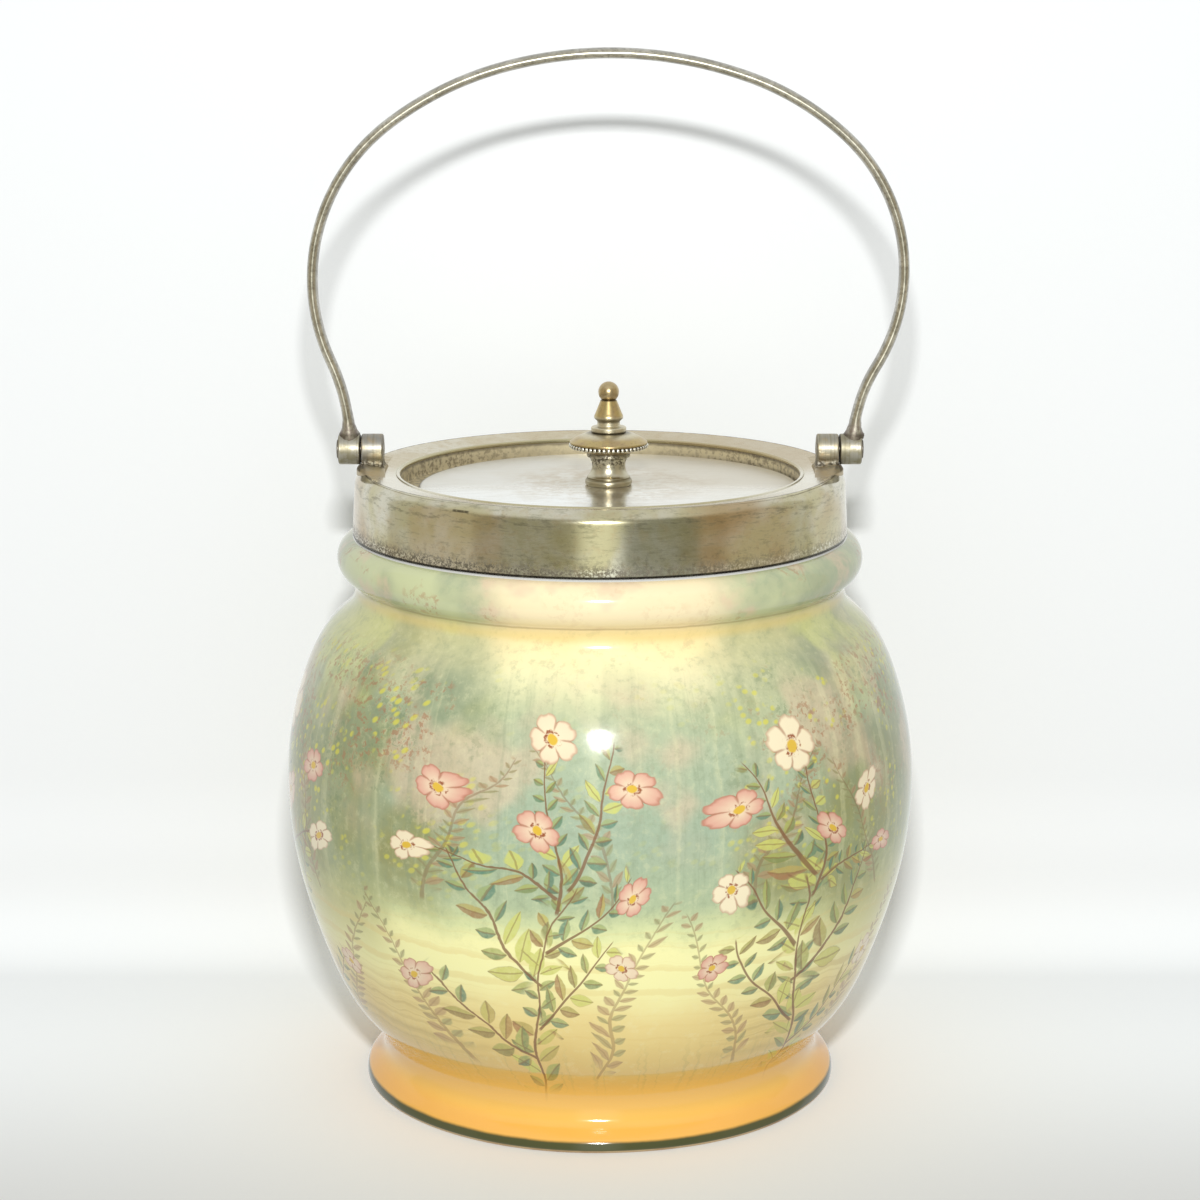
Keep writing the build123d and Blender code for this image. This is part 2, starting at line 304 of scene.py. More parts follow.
# What the jar's metal mirrors, going round from the far wall to the lens, then up and down.
zones = [
    (front, -0.17, -0.11, (0.66, 0.59, 0.47)),
    (front, 0.48, 0.54, brown),
    (front, 0.685, 0.72, dark),
    (front, 0.974, 1.0, (1.25, 1.28, 1.16)),
    (up, 0.45, 0.8, (0.90, 0.91, 0.90)),
    (up * -1.0, 0.30, 0.48, (0.84, 0.85, 0.83)),
]
room_colour = blend(front.above(-0.44, -0.38), (0.96, 0.98, 0.97), (0.68, 0.67, 0.56))
for where, start, full, tone in zones:
    room_colour.coat(where.above(start, full), tone)
light_path = made(sky, "LightPath").outputs
levels = [(0.52, 0.525, 0.52), room_colour, (0.985, 1.0, 0.995)]
soft, room, white = (made(sky, "Background", {"Color": tone}).outputs[0] for tone in levels)
by_gloss = made(sky, "MixShader", {0: light_path["Is Glossy Ray"], 1: soft, 2: room}).outputs[0]
by_camera = made(sky, "MixShader", {0: light_path["Is Camera Ray"], 1: by_gloss, 2: white})
made(sky, "OutputWorld", {0: by_camera.outputs[0]})

# %% Lamp
lamp_place = Vector((0.0, -700.0, 396.0)) * MM
lamp_aim = Vector((0.0, 0.0, 110.0)) * MM
lamp_data = bpy.data.lights.new("lamp_over_lens", "AREA")
lamp_data.shape = "RECTANGLE"
lamp_data.size = 50.0 * MM
lamp_data.size_y = 17.0 * MM
lamp_data.energy = 3.7
lamp = bpy.data.objects.new("lamp_over_lens", lamp_data)
lamp.location = lamp_place
lamp.rotation_euler = (lamp_aim - lamp_place).to_track_quat("-Z", "Y").to_euler()
bpy.context.scene.collection.objects.link(lamp)

# %% [markdown]
# ## Turning a section
#
# The pot, the collar, the lid and the knob are all turned: one outline spun round a line.  The CAD
# node holds that outline already, along the seam where its surface closes.  Reading it from there
# means that not one number is copied, and the finer piece lies exactly where the CAD piece does.
# Points are added on the curved stretches, so that glaze and polished metal reflect without facets.
# A point of an outline is held as one complex number, radius + height * 1j: then a step is a plain
# difference, and the turn from one step to the next is the phase of their quotient.


# %% Read the outline of a turned node
def seam_section(node, axis_x=0.0):
    """The outline of a turned node along its seam, in metres, and whether it closes on itself."""
    grid = bmesh.new()
    grid.from_mesh(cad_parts[node].data)
    bmesh.ops.remove_doubles(grid, verts=grid.verts, dist=tiny)
    on_seam = {v for v in grid.verts if abs(v.co.y) < 2 * tiny and v.co.x > axis_x - tiny}
    joined = {v: [e.other_vert(v) for e in v.link_edges if e.other_vert(v) in on_seam] for v in on_seam}
    ends = sorted((v for v in on_seam if len(joined[v]) == 1), key=lambda v: v.co.z)
    current = ends[0] if ends else min(on_seam, key=lambda v: (v.co.z, v.co.x))
    walked = [current]
    while True:
        onward = [v for v in joined[current] if v not in walked]
        if not onward:
            break
        current = min(onward, key=lambda v: v.co.x) if len(walked) == 1 else onward[0]
        walked.append(current)
    points = [complex(max(v.co.x - axis_x, 0.0), v.co.z) for v in walked]
    grid.free()
    if ends:  # a solid piece: its flat ends run in to the axis
        points = [1j * points[0].imag] * (points[0].real > tiny) + points
        points += [1j * points[-1].imag] * (points[-1].real > tiny)
    return points, not ends


# %% Add points on the curved stretches
corner_angle = radians(24)
long_run = 4.0  # a stretch this many times longer than its neighbour is a straight one


def direction_at(before, here, after):
    """Unit direction of the outline at a point: a straight neighbour's, or the mean of both."""
    first, second = here - before, after - here
    a, b = abs(first), abs(second)
    if a > long_run * b:
        mean = first
    elif b > long_run * a:
        mean = second
    else:
        mean = first / a * b + second / b * a
    return mean / abs(mean)


def refined(points, closed, spacing):
    """The same outline with more points: curved stretches stay smooth and corners stay sharp."""
    count = len(points)
    result = []
    for i in range(count if closed else count - 1):
        before, here = points[i - 1], points[i]
        there, beyond = points[(i + 1) % count], points[(i + 2) % count]
        chord = there - here
        length = abs(chord)
        leave = arrive = chord / length
        if (closed or i > 0) and abs(phase(chord / (here - before))) < corner_angle:
            leave = direction_at(before, here, there)
        if (closed or i + 2 < count) and abs(phase((beyond - there) / chord)) < corner_angle:
            arrive = direction_at(here, there, beyond)
        pieces = max(1, round(length / spacing))
        for k in range(pieces):
            t = k / pieces
            from_ends = (2 * t**3 - 3 * t**2 + 1) * here + (3 * t**2 - 2 * t**3) * there
            from_turns = (t**3 - 2 * t**2 + t) * leave + (t**3 - t**2) * arrive
            result.append(from_ends + length * from_turns)
    return result if closed else result + points[-1:]


# %% Spin the outline
def new_piece(name, mesh):
    piece = bpy.data.objects.new(name, mesh)
    bpy.context.scene.collection.objects.link(piece)
    return piece


def walls(rings, closed=False):
    """Faces between rings of vertex numbers.  A ring that is one repeated point gives a fan."""
    faces = []
    for low, high in zip(rings, rings[1:] + rings[:1] if closed else rings[1:]):
        for k in range(len(low)):
            corners = dict.fromkeys((low[k], low[k - len(low) + 1], high[k - len(low) + 1], high[k]))
            faces.append(list(corners))
    return [face for face in faces if len(face) > 2]


def spun(name, points, closed, steps, axis_x, shape):
    """A turned mesh.  shape(radius, height, angle) may press the wall in or out a little."""
    vertices, rings = [], []
    for point in points:
        radius, height = point.real, point.imag
        if radius < tiny:
            rings.append([len(vertices)] * steps)
            vertices.append((axis_x, 0.0, height))
            continue
        rings.append(list(range(len(vertices), len(vertices) + steps)))
        for k in range(steps):
            angle = 2 * pi * k / steps
            r = shape(radius, height, angle) if shape else radius
            vertices.append((axis_x + r * cos(angle), r * sin(angle), height))
    mesh = bpy.data.meshes.new(name)
    mesh.from_pydata(vertices, [], walls(rings, closed))
    settle(mesh)
    return new_piece(name, mesh)


def settle(mesh, sharp=radians(38)):
    """Faces outwards, smooth, and sharp only at real corners."""
    grid = bmesh.new()
    grid.from_mesh(mesh)
    bmesh.ops.recalc_face_normals(grid, faces=grid.faces)
    grid.to_mesh(mesh)
    grid.free()
    mesh.shade_smooth()
    mesh.set_sharp_from_angle(angle=sharp)


def applied(piece):
    """The piece with its modifiers made part of its mesh."""
    graph = bpy.context.evaluated_depsgraph_get()
    mesh = bpy.data.meshes.new_from_object(piece.evaluated_get(graph))
    piece.modifiers.clear()
    piece.data = mesh
    mesh.name = piece.name
    return piece


def modified(piece, kind, **settings):
    """The piece changed by one modifier."""
    modifier = piece.modifiers.new(kind.lower(), kind)
    for name, value in settings.items():
        setattr(modifier, name, value)
    return applied(piece)


def turned(name, node, spacing_mm, steps, edge_mm=0.0, axis_x=0.0, shape=None):
    """A finer copy of a turned node.  Polishing has broken its sharp edges by edge_mm."""
    outline, closed = seam_section(node, axis_x)
    outline = refined(outline, closed, spacing_mm * MM)
    piece = spun(name, outline, closed, steps, axis_x, shape)
    if edge_mm:
        edges = {"limit_method": "ANGLE", "angle_limit": radians(30)}
        modified(piece, "BEVEL", width=edge_mm * MM, segments=2, **edges)
        settle(piece.data)
    print(name, "outline points", len(outline))
    return piece


def dress(piece, body, slot_name, material, *nodes):
    """Give a finished piece its material, its body and the nodes that it stands for.  slot_name is not
    used.
    """
    piece.data.materials.clear()
    piece.data.materials.append(material)
    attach(piece, body)
    if nodes:
        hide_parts(*nodes)
    piece.data.calc_loop_triangles()
    print(piece.name, "triangles", len(piece.data.loop_triangles))
    return piece


def finish_material(name):
    """An empty material and its Principled shader."""
    material = bpy.data.materials.new(name)
    material.use_nodes = True
    return material, material.node_tree.nodes["Principled BSDF"]


def fill(shader, **values):
    """Feed a shader's inputs by name."""
    for name, value in values.items():
        feed(value, shader.inputs[name.replace("_", " ")])


def new_group(name, inputs, outputs):
    """A node group with named sockets.  Gives its inputs by name, and its output node."""
    tree = bpy.data.node_groups.new(name, "ShaderNodeTree")
    for in_out, titles in (("INPUT", inputs), ("OUTPUT", outputs)):
        for title in titles:
            kind = "NodeSocketVector" if title == "Vector" else "NodeSocketFloat"
            tree.interface.new_socket(name=title, in_out=in_out, socket_type=kind)
    source = tree.nodes.new("NodeGroupInput")
    given = {title: Varying(source.outputs[title]) for title in inputs}
    return given, tree.nodes.new("NodeGroupOutput")


def finished_group(result, *values):
    """Feed a group's outputs, in their order.  Gives the group."""
    for value, socket in zip(values, result.inputs):
        feed(value, socket)
    return result.id_data


def use_group(group, *values):
    """Place a group beside its first value, with its inputs in order.  Gives its outputs by name."""
    holder = made(values[0].tree, "Group", node_tree=group)
    for value, socket in zip(values, holder.inputs):
        feed(value, socket)
    return {out.name: Varying(out) for out in holder.outputs}


# %% [markdown]
# ## The pot
#
# The pot is fired clay under a thick, glossy glaze.  A spun outline gives its shape.  Thrown work is
# never quite even, so the wall wavers by a tenth of a millimetre, and that is what makes a highlight
# look wet.

# %% The pot's shape
waver = 0.12 * MM
neck_radius = 30.0 * MM  # inside this radius, and above the neck's foot, the wall stays true
neck_foot = 136.0 * MM


def pot_wall(radius, height, angle):
    """Radius of the thrown wall, with the small unevenness of work by hand."""
    if radius < neck_radius or height > neck_foot:
        return radius
    drift = sin(2 * angle + 0.7 + 14 * height) + 0.5 * sin(5 * angle + 31 * height)
    ripple = noise.noise(Vector((28 * radius * cos(angle), 28 * radius * sin(angle), 46 * height)))
    return radius + waver * (0.5 * drift + 1.4 * ripple)


pot = turned("pot", "jar_body", 2.1, 340, shape=pot_wall)

# %% Collar, lid and knob
band = turned("band", "collar_band", 0.6, 300, 0.10)
top_ring = turned("top_ring", "collar_top_ring", 0.6, 300)
seat_ring = turned("seat_ring", "lid_seat_ring", 0.8, 240, 0.08)
lid_low, lid_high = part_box("lid_disc")
lid_x = (lid_low.x + lid_high.x) / 2
print("the lid lies", round(lid_x / MM, 2), "mm to one side")
lid = turned("lid", "lid_disc", 1.5, 240, axis_x=lid_x)
pedestal = turned("pedestal", "knob_pedestal", 0.25, 128, 0.09, lid_x)
dome = turned("dome", "knob_dome", 0.25, 160, 0.07, lid_x)
spire = turned("spire", "knob_spire", 0.2, 112, 0.08, lid_x)

# %% [markdown]
# ## Beads round the knob
#
# The knob's dome has a row of beads soldered round its edge, on a thin core wire.  A row like this is
# one bead and a rule, so Geometry Nodes make it: a circle gives the places, and one small sphere is
# instanced on each.  The sizes are named inputs, and their values are read from the CAD node's box.

# %% Node tree of a bead ring
bead_count = 52
core_share = 0.55  # the core wire's radius, as a share of a bead's


def bead_ring_tree():
    """Beads and their core wire as a node tree.  Gives the tree, and its inputs' identifiers."""
    tree = bpy.data.node_groups.new("bead_ring", "GeometryNodeTree")
    tree.interface.new_socket(name="Geometry", in_out="OUTPUT", socket_type="NodeSocketGeometry")
    wanted = {
        "Beads": "Int",
        "Ring Radius": "Float",
        "Bead Radius": "Float",
        "Core Radius": "Float",
        "Centre": "Vector",
        "Finish": "Material",
    }
    keys = {}
    for title, kind in wanted.items():
        socket_type = "NodeSocket" + kind
        socket = tree.interface.new_socket(name=title, in_out="INPUT", socket_type=socket_type)
        keys[title] = socket.identifier

    def node(kind, inputs):
        return made(tree, kind, inputs, "GeometryNode").outputs[0]

    given = tree.nodes.new("NodeGroupInput").outputs
    ring = node("MeshCircle", {"Vertices": given["Beads"], "Radius": given["Ring Radius"]})
    bead = node("MeshUVSphere", {"Segments": 12, "Rings": 8, "Radius": given["Bead Radius"]})
    copies = node("InstanceOnPoints", {"Points": ring, "Instance": bead})
    circle = "CurvePrimitiveCircle"
    core_line = node(circle, {"Resolution": 2 * bead_count, "Radius": given["Ring Radius"]})
    core_round = node(circle, {"Resolution": 10, "Radius": given["Core Radius"]})
    core = node("CurveToMesh", {"Curve": core_line, "Profile Curve": core_round})
    shape = node("JoinGeometry", {0: copies})
    tree.links.new(core, shape.node.inputs[0])
    shape = node("Transform", {0: shape, "Translation": given["Centre"]})
    shape = node("RealizeInstances", {0: shape})
    shape = node("SetShadeSmooth", {0: shape})
    shape = node("SetMaterial", {0: shape, "Material": given["Finish"]})
    tree.links.new(shape, tree.nodes.new("NodeGroupOutput").inputs[0])
    return tree, keys


def bead_ring(name, finish):
    low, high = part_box("knob_bead_wire")
    bead_radius = (high.z - low.z) / 2
    tree, keys = bead_ring_tree()
    beads = new_piece(name, bpy.data.meshes.new(name))
    maker = beads.modifiers.new("beads", "NODES")
    maker.node_group = tree
    maker[keys["Beads"]] = bead_count
    maker[keys["Ring Radius"]] = (high.x - low.x) / 2 - bead_radius
    maker[keys["Bead Radius"]] = bead_radius
    maker[keys["Core Radius"]] = bead_radius * core_share
    maker[keys["Centre"]] = (low + high) / 2
    maker[keys["Finish"]] = finish
    return applied(beads)


# %% [markdown]
# ## Brackets
#
# Each bracket is a leaf of sheet metal bent over the collar's shoulder, with a tube soldered on top.
# Solder creeps into every inside corner and leaves it hollow and soft.  To get that, the CAD foot and
# tube are copied into one mesh, swollen by a fraction of a millimetre, remeshed, and shrunk back by
# the same amount: outer edges return to where they were, and the corners between stay filled.


# %% Soldered pieces
def merged_copy(name, nodes):
    """One mesh with the CAD nodes' surfaces, its doubles merged."""
    grid = bmesh.new()
    for node in nodes:
        grid.from_mesh(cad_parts[node].data)
    bmesh.ops.remove_doubles(grid, verts=grid.verts, dist=tiny)
    mesh = bpy.data.meshes.new(name)
    grid.to_mesh(mesh)
    grid.free()
    return new_piece(name, mesh)


def soldered(name, nodes, fillet_mm, grain_mm, smoothing):
    """The nodes' shapes as one, with solder in the inside corners."""
    piece = merged_copy(name, nodes)
    for swelling in (fillet_mm, -fillet_mm):
        modified(piece, "REMESH", mode="VOXEL", voxel_size=grain_mm * MM)
        modified(piece, "DISPLACE", mid_level=0.0, strength=swelling * MM)
    modified(piece, "SMOOTH", factor=0.5, iterations=smoothing)
    settle(piece.data, radians(180))
    return piece


# %% Feathered saddles
# The leaf is hammered thin towards its tips and soldered down, until it runs into the collar.
# Each taper, measured from the hinge's axis: full thickness up to the first, sunk from the second.
front_taper = (4.4 * MM, 14.0 * MM)
rear_taper = (2.6 * MM, 6.8 * MM)
sunk = 0.16 * MM  # how deep the tips lie under the collar's surface
shoulder_core = Vector((52.0, 148.0)) * MM  # radius and height of a line inside the shoulder


def feathered(piece, base):
    """Bring the leaf's upper surface down to the collar's, more and more towards its tips."""
    collar = BVHTree.FromObject(base, bpy.context.evaluated_depsgraph_get())
    reach = 6.0 * MM  # each ray starts this far outside the leaf, and so outside the collar
    for vertex in piece.data.vertices:
        full_until, thin_from = front_taper if vertex.co.y < 0 else rear_taper
        away = abs(vertex.co.y) - full_until
        if away <= 0:
            continue
        radial = Vector((vertex.co.x, vertex.co.y, 0.0)).normalized()
        spread = hypot(vertex.co.x, vertex.co.y) - shoulder_core.x
        outward = (radial * spread + Vector((0, 0, vertex.co.z - shoulder_core.y))).normalized()
        distance = collar.ray_cast(vertex.co + outward * reach, -outward)[3]
        if distance is not None and distance > reach:
            share = min(away / (thin_from - full_until), 1.0)
            press = (distance - reach + sunk) * (3 * share**2 - 2 * share**3)
            vertex.co -= outward * press


collar_shape = merged_copy("collar_shape", ["collar_band", "collar_top_ring"])
brackets = {}
for side in ("left", "right"):
    nodes = (f"bracket_foot_{side}", f"bracket_knuckle_{side}")
    brackets[side] = soldered(f"bracket_{side}", nodes, 0.55, 0.17, 5)
    feathered(brackets[side], collar_shape)
    print(brackets[side].name, "faces", len(brackets[side].data.polygons))
bpy.data.objects.remove(collar_shape)

# %% [markdown]
# ## Handle
#
# The handle is one length of oval wire, bent by hand in seven sweeps, so its two legs are not quite
# alike.  A bend is a radius and an angle, and the wire's centre line is one arc after another.  The
# oval is carried along that line.  At both ends it spreads into a foot of solder, which takes up the
# round of the tube that it sits on.

# %% Centre line
hinge_height = 158.8
tube_radius = 3.75
wire_half_width = 2.3
wire_half_thickness = 1.3
bow_start = (-61.0, 161.0)
bow_heading = 90.8
bow_bends = [(49, 23.3), (47, -76.7), (80, -22.8), (99, -34.5), (68, -22.8), (44, -78.4), (36, 30.0)]


def bow_stations(spacing=0.9):
    """Points and headings along the bow, in millimetres in its own plane."""
    (x, z), heading = bow_start, radians(bow_heading)
    stations = [(x, z, heading)]
    for radius, turn in bow_bends:
        pieces = max(2, round(radius * radians(abs(turn)) / spacing))
        step = radians(turn) / pieces
        chord = 2 * radius * sin(abs(step) / 2)
        for _ in range(pieces):
            x += chord * cos(heading + step / 2)
            z += chord * sin(heading + step / 2)
            heading += step
            stations.append((x, z, heading))
    return stations


bow_line = bow_stations()
print("handle: stations", len(bow_line), "ends at", [round(v, 2) for v in bow_line[-1][:2]])

# %% Wire and its feet
oval_steps = 36
foot_half_width = 2.6
foot_half_depth = 2.85
foot_rise = 1.5  # the foot narrows to the wire over about this height
foot_lump = 0.16
saddle_height = 5.0  # above this the rings no longer follow the tube's round
leg_stations = 14
crest = hinge_height + tube_radius


def wire_ring(x, z, heading):
    """One oval round the centre line."""
    ring = []
    for k in range(oval_steps):
        angle = 2 * pi * k / oval_steps
        inward = wire_half_thickness * cos(angle)
        across = wire_half_width * sin(angle)
        ring.append(Vector((x + inward * sin(heading), across, z - inward * cos(heading))) * MM)
    return ring


def tube_top(y):
    """Height of the tube's surface at a distance from its crest."""
    return hinge_height + sqrt(max(tube_radius**2 - y * y, 0.0))


def foot_ring(x, height, heading):
    """One oval of the solder foot, at a height above the tube.  Low ones follow the tube's round."""
    spread = exp(-max(height, 0.0) / foot_rise)
    half_x = wire_half_thickness + (foot_half_width - wire_half_thickness) * spread
    half_y = wire_half_width + (foot_half_depth - wire_half_width) * spread
    ring = []
    for k in range(oval_steps):
        angle = 2 * pi * k / oval_steps
        lump = foot_lump * spread * noise.noise(Vector((3 * cos(angle), 3 * sin(angle), height + x)))
        inward = (half_x + lump) * cos(angle)
        across = (half_y + lump) * sin(angle)
        lean = 1 - min(max(height / saddle_height, 0.0), 1.0)
        low = tube_top(across) - crest
        ring.append(Vector((x + inward * sin(heading), across, crest + height + lean * low)) * MM)
    return ring


foot_levels = [-0.6, 0.07, 0.16, 0.28, 0.42, 0.62, 0.88, 1.2, 1.6, 2.1, 2.7, 3.4, 4.2]


def foot_rings(line):
    """Rings from the tube up one leg, found on the centre line that starts with that leg."""
    rings = []
    for level in foot_levels:
        near = min(line[:leg_stations], key=lambda s: abs(s[1] - crest - level))
        rings.append(foot_ring(near[0], level, near[2]))
    return rings


wire_from = crest + foot_levels[-1] + 0.6
middle = [wire_ring(*s) for s in bow_line if s[1] > wire_from]
rings = foot_rings(bow_line) + middle + foot_rings(bow_line[::-1])[::-1]
vertices = [point for ring in rings for point in ring]
numbers = list(range(len(vertices)))
ring_numbers = [numbers[i : i + oval_steps] for i in range(0, len(vertices), oval_steps)]
faces = walls(ring_numbers) + [ring_numbers[0], ring_numbers[-1][::-1]]
bow_mesh = bpy.data.meshes.new("handle_wire")
bow_mesh.from_pydata(vertices, [], faces)
settle(bow_mesh, radians(60))
bow = new_piece("handle_wire", bow_mesh)

# %% [markdown]
# ## The painting under the glaze
#
# Pottery like this was painted on the fired clay with thin metal colours, and the clear glaze went
# over everything.  So the colours belong in Base Color, and the gloss stays clean and even.  The wash
# comes first.  It is mixed by height, then varied by a cloud of noise, so that no edge is straight.
# Every pattern below is measured in millimetres along the surface: how far round, and how high.


# %% Paints
def paint(red, green, blue):
    """A colour as mixed on screen, 0 to 255, in the linear values that shaders work with."""
    return tuple(
        c / 12.92 if c <= 0.04045 else ((c + 0.055) / 1.055) ** 2.4
        for c in (red / 255, green / 255, blue / 255)
    )


foot_gold = paint(236, 190, 104)
golden = paint(226, 196, 120)
warm_straw = paint(240, 219, 147)
straw_yellow = paint(249, 245, 177)
green_straw = paint(222, 228, 168)
sage_green = paint(176, 191, 152)
misty_green = paint(166, 182, 154)
pale_sage = paint(186, 194, 156)
shoulder_olive = paint(204, 200, 150)
glade_cream = paint(244, 240, 190)
glade_peach = paint(251, 225, 167)
glade_blue = paint(166, 188, 168)
deep_teal = paint(134, 148, 118)
olive_shade = paint(148, 146, 88)
olive_green = paint(150, 154, 98)
lemon_green = paint(214, 218, 134)
foot_orange = paint(248, 198, 98)
deep_orange = paint(238, 172, 74)
base_line = paint(78, 80, 48)
rose_pink = paint(224, 196, 166)
roll_sage = paint(174, 181, 146)
roll_green = paint(202, 208, 162)
roll_peach = paint(249, 230, 188)

paint_scale = 70.0  # one radian round the pot counts as this many millimetres


# %% Wash
glaze, pot_shader = finish_material("painted_glaze")
point, east_way, north_way, height = place_mm(pot_shader.id_data)
angle = east_way.math("ARCTAN2", north_way * -1.0)  # how far round from the front
axis_distance = (east_way * east_way + north_way * north_way).root()
drift = noise_at(point, 0.022, 2.0, 0.5, 0.6) - 0.5
mottle = noise_at(point, 0.09, 4.0, 0.6) - 0.5
soft_height = height + drift * 11.0 + mottle * 6.0
wash_top = 160.0
wash_levels = [
    (11, foot_gold),
    (24, golden),
    (37, warm_straw),
    (47, straw_yellow),
    (56, straw_yellow),
    (61, green_straw),
    (68, sage_green),
    (84, misty_green),
    (108, pale_sage),
    (124, shoulder_olive),
]
wash = ramp(soft_height / wash_top, [(level / wash_top, tone) for level, tone in wash_levels])

# %% [markdown]
# Three times round the pot the painter left a glade, where light falls through from the shoulder.
# Between them the wash is stronger: teal and olive clouds lie there, with rosy ones above.  Each
# cloud is a soft mask that multiplies a place by a noise.

# %% Clouds of colour
glade = ((angle * 3.0).math("COSINE") + drift * 1.0 + mottle * 0.5).above(-0.15, 0.65)
misty_light = glade * height.above(66.0, 84.0) * height.above(116.0, 100.0)
wash.coat(misty_light * (mottle + 0.6) * 0.45, glade_blue)
wash.coat(glade * soft_height.above(107.0, 121.0), glade_cream)
wash.coat(glade * soft_height.above(116.0, 126.0), glade_peach)
between = 1.0 - glade
cloud = noise_at(point, 0.035, 3.0, 0.55, 0.8)
shaded = between * cloud.above(0.34, 0.64) * height.above(54.0, 70.0) * height.above(134.0, 112.0)
shade = blend(height.above(76.0, 100.0), olive_shade, deep_teal)
wash.coat(shaded * 0.85, shade)
trunks = (angle * 3.0).math("COSINE").above(-0.35, -0.85) * height.above(40.0, 58.0)
wash.coat(trunks * height.above(112.0, 92.0) * 0.5, olive_shade)
olive_cloud = noise_at(moved(point, 40.0), 0.05, 3.0, 0.6).above(0.50, 0.66)
wash.coat(olive_cloud * between * height.above(52.0, 68.0) * 0.5, olive_green)
lemon_cloud = noise_at(moved(point, 70.0), 0.05, 2.0, 0.6).above(0.48, 0.62)
wash.coat(lemon_cloud * between * height.above(98.0, 114.0) * 0.5, lemon_green)
rosy = noise_at(moved(point, 90.0), 0.045, 2.0, 0.5).above(0.49, 0.62)
rosy = rosy * height.above(72.0, 90.0) * height.above(122.0, 108.0)
wash.coat(rosy * 0.5, rose_pink)

# %% Brush marks in the wash
# A soft brush leaves upright marks in the misty part and level ones in the straw yellow.
upright = noise_along(angle * (paint_scale * 0.22) + mottle * 0.7, 5.0, 0.6)
level = noise_along(height * 0.30 + mottle * 1.2 + angle * 0.9, 4.0, 0.65)
misty = height.above(56.0, 72.0) * height.above(124.0, 110.0)
wash.coat(upright.above(0.50, 0.70) * misty * 0.30, deep_teal)
wash.coat(upright.above(0.48, 0.28) * misty * 0.22, glade_cream)
stipple = noise_at(moved(point, 15.0), 0.42, 5.0, 0.72)
wash.coat(stipple.above(0.50, 0.66) * 0.26 * height.above(50.0, 66.0), deep_teal)
wash.coat(stipple.above(0.48, 0.34) * 0.15, glade_cream)
straw_zone = height.above(66.0, 54.0) * height.above(20.0, 30.0)
wash.coat(level.above(0.50, 0.68) * straw_zone * 0.30, golden)
ground = level.above(0.38, 0.70) * between * height.above(18.0, 27.0) * height.above(50.0, 38.0)
wash.coat(ground * 0.42, paint(180, 160, 98))

# %% [markdown]
# ## Dabs of the brush
#
# Distant foliage is dabbed on with the tip of a brush.  Brown and dark green dabs run together, so a
# noise that is cut off at a level looks like them.  The lemon ones stay apart, as cells do that are
# stretched one way and cut by the surface.  A broad noise gathers all of them in clusters.


# %% Dabs
away_from_light = 1.0 - glade * 0.8


def gathered(place, low, high):
    """Where clusters of dabs lie: a broad noise, between the sprays' middle and the groove."""
    broad = noise_at(moved(point, place), 0.055, 4.0, 0.65)
    clusters = broad.above(0.48, 0.58) * height.above(low, high)
    return clusters * height.above(121.0, 113.0) * away_from_light


foliage = noise_at(moved(point, 25.0), 0.62, 4.0, 0.65)
green_dabs = gathered(30.0, 62.0, 92.0) * foliage.above(0.50, 0.60)
wash.coat(green_dabs * 0.50, paint(118, 136, 100))
brown_dabs = gathered(55.0, 70.0, 100.0) * foliage.above(0.48, 0.40)
wash.coat(brown_dabs * 0.60, paint(164, 110, 78))
clustered = gathered(80.0, 58.0, 80.0)
dab_width = 2.1
dab_cells = {
    "Vector": point,
    "Rotation": (0.35, radians(65), 0.2),
    "Scale": (dab_width, dab_width, dab_width * 2.0),
}
leaning = made(point.tree, "Mapping", dab_cells, vector_type="TEXTURE").outputs[0]
scatter = made(point.tree, "TexVoronoi", {"Vector": leaning, "Scale": 1.0})
lemon_dabs = clustered * Varying(scatter.outputs["Distance"]).above(0.40, 0.20)
wash.coat(lemon_dabs * 0.75, paint(214, 208, 76))

# %% [markdown]
# ## A leafy twig, as a formula
#
# A twig is a bent line with leaves on both sides.  In the twig's own directions, along and across,
# the row of leaves is one leaf repeated: the whole part of (along / spacing) numbers the leaf, and
# the rest says where in its cell a point lies.  One shader group does this, and it is used for every
# twig on the pot.  It gives masks and a tone, and the colours are chosen later.

# %% Twig group
twig_inputs = "X, Y, Start X, Start Y, Turn, Length, Bend, Leaf, Seed".split(", ")
leaf_tilt = radians(36)


def along_and_across(x, y, start_x, start_y, turn):
    """Turn a flat point into a twig's own directions."""
    dx, dy = x - start_x, y - start_y
    sine, cosine = turn.math("SINE"), turn.math("COSINE")
    return dx * sine + dy * cosine, dx * cosine - dy * sine


def random_from(value):
    """A number from 0 to 1 that looks random and belongs to a value: the last digits of a sine."""
    return ((value * 12.9898 + 4.1).math("SINE") * 4375.85).math("FRACT")


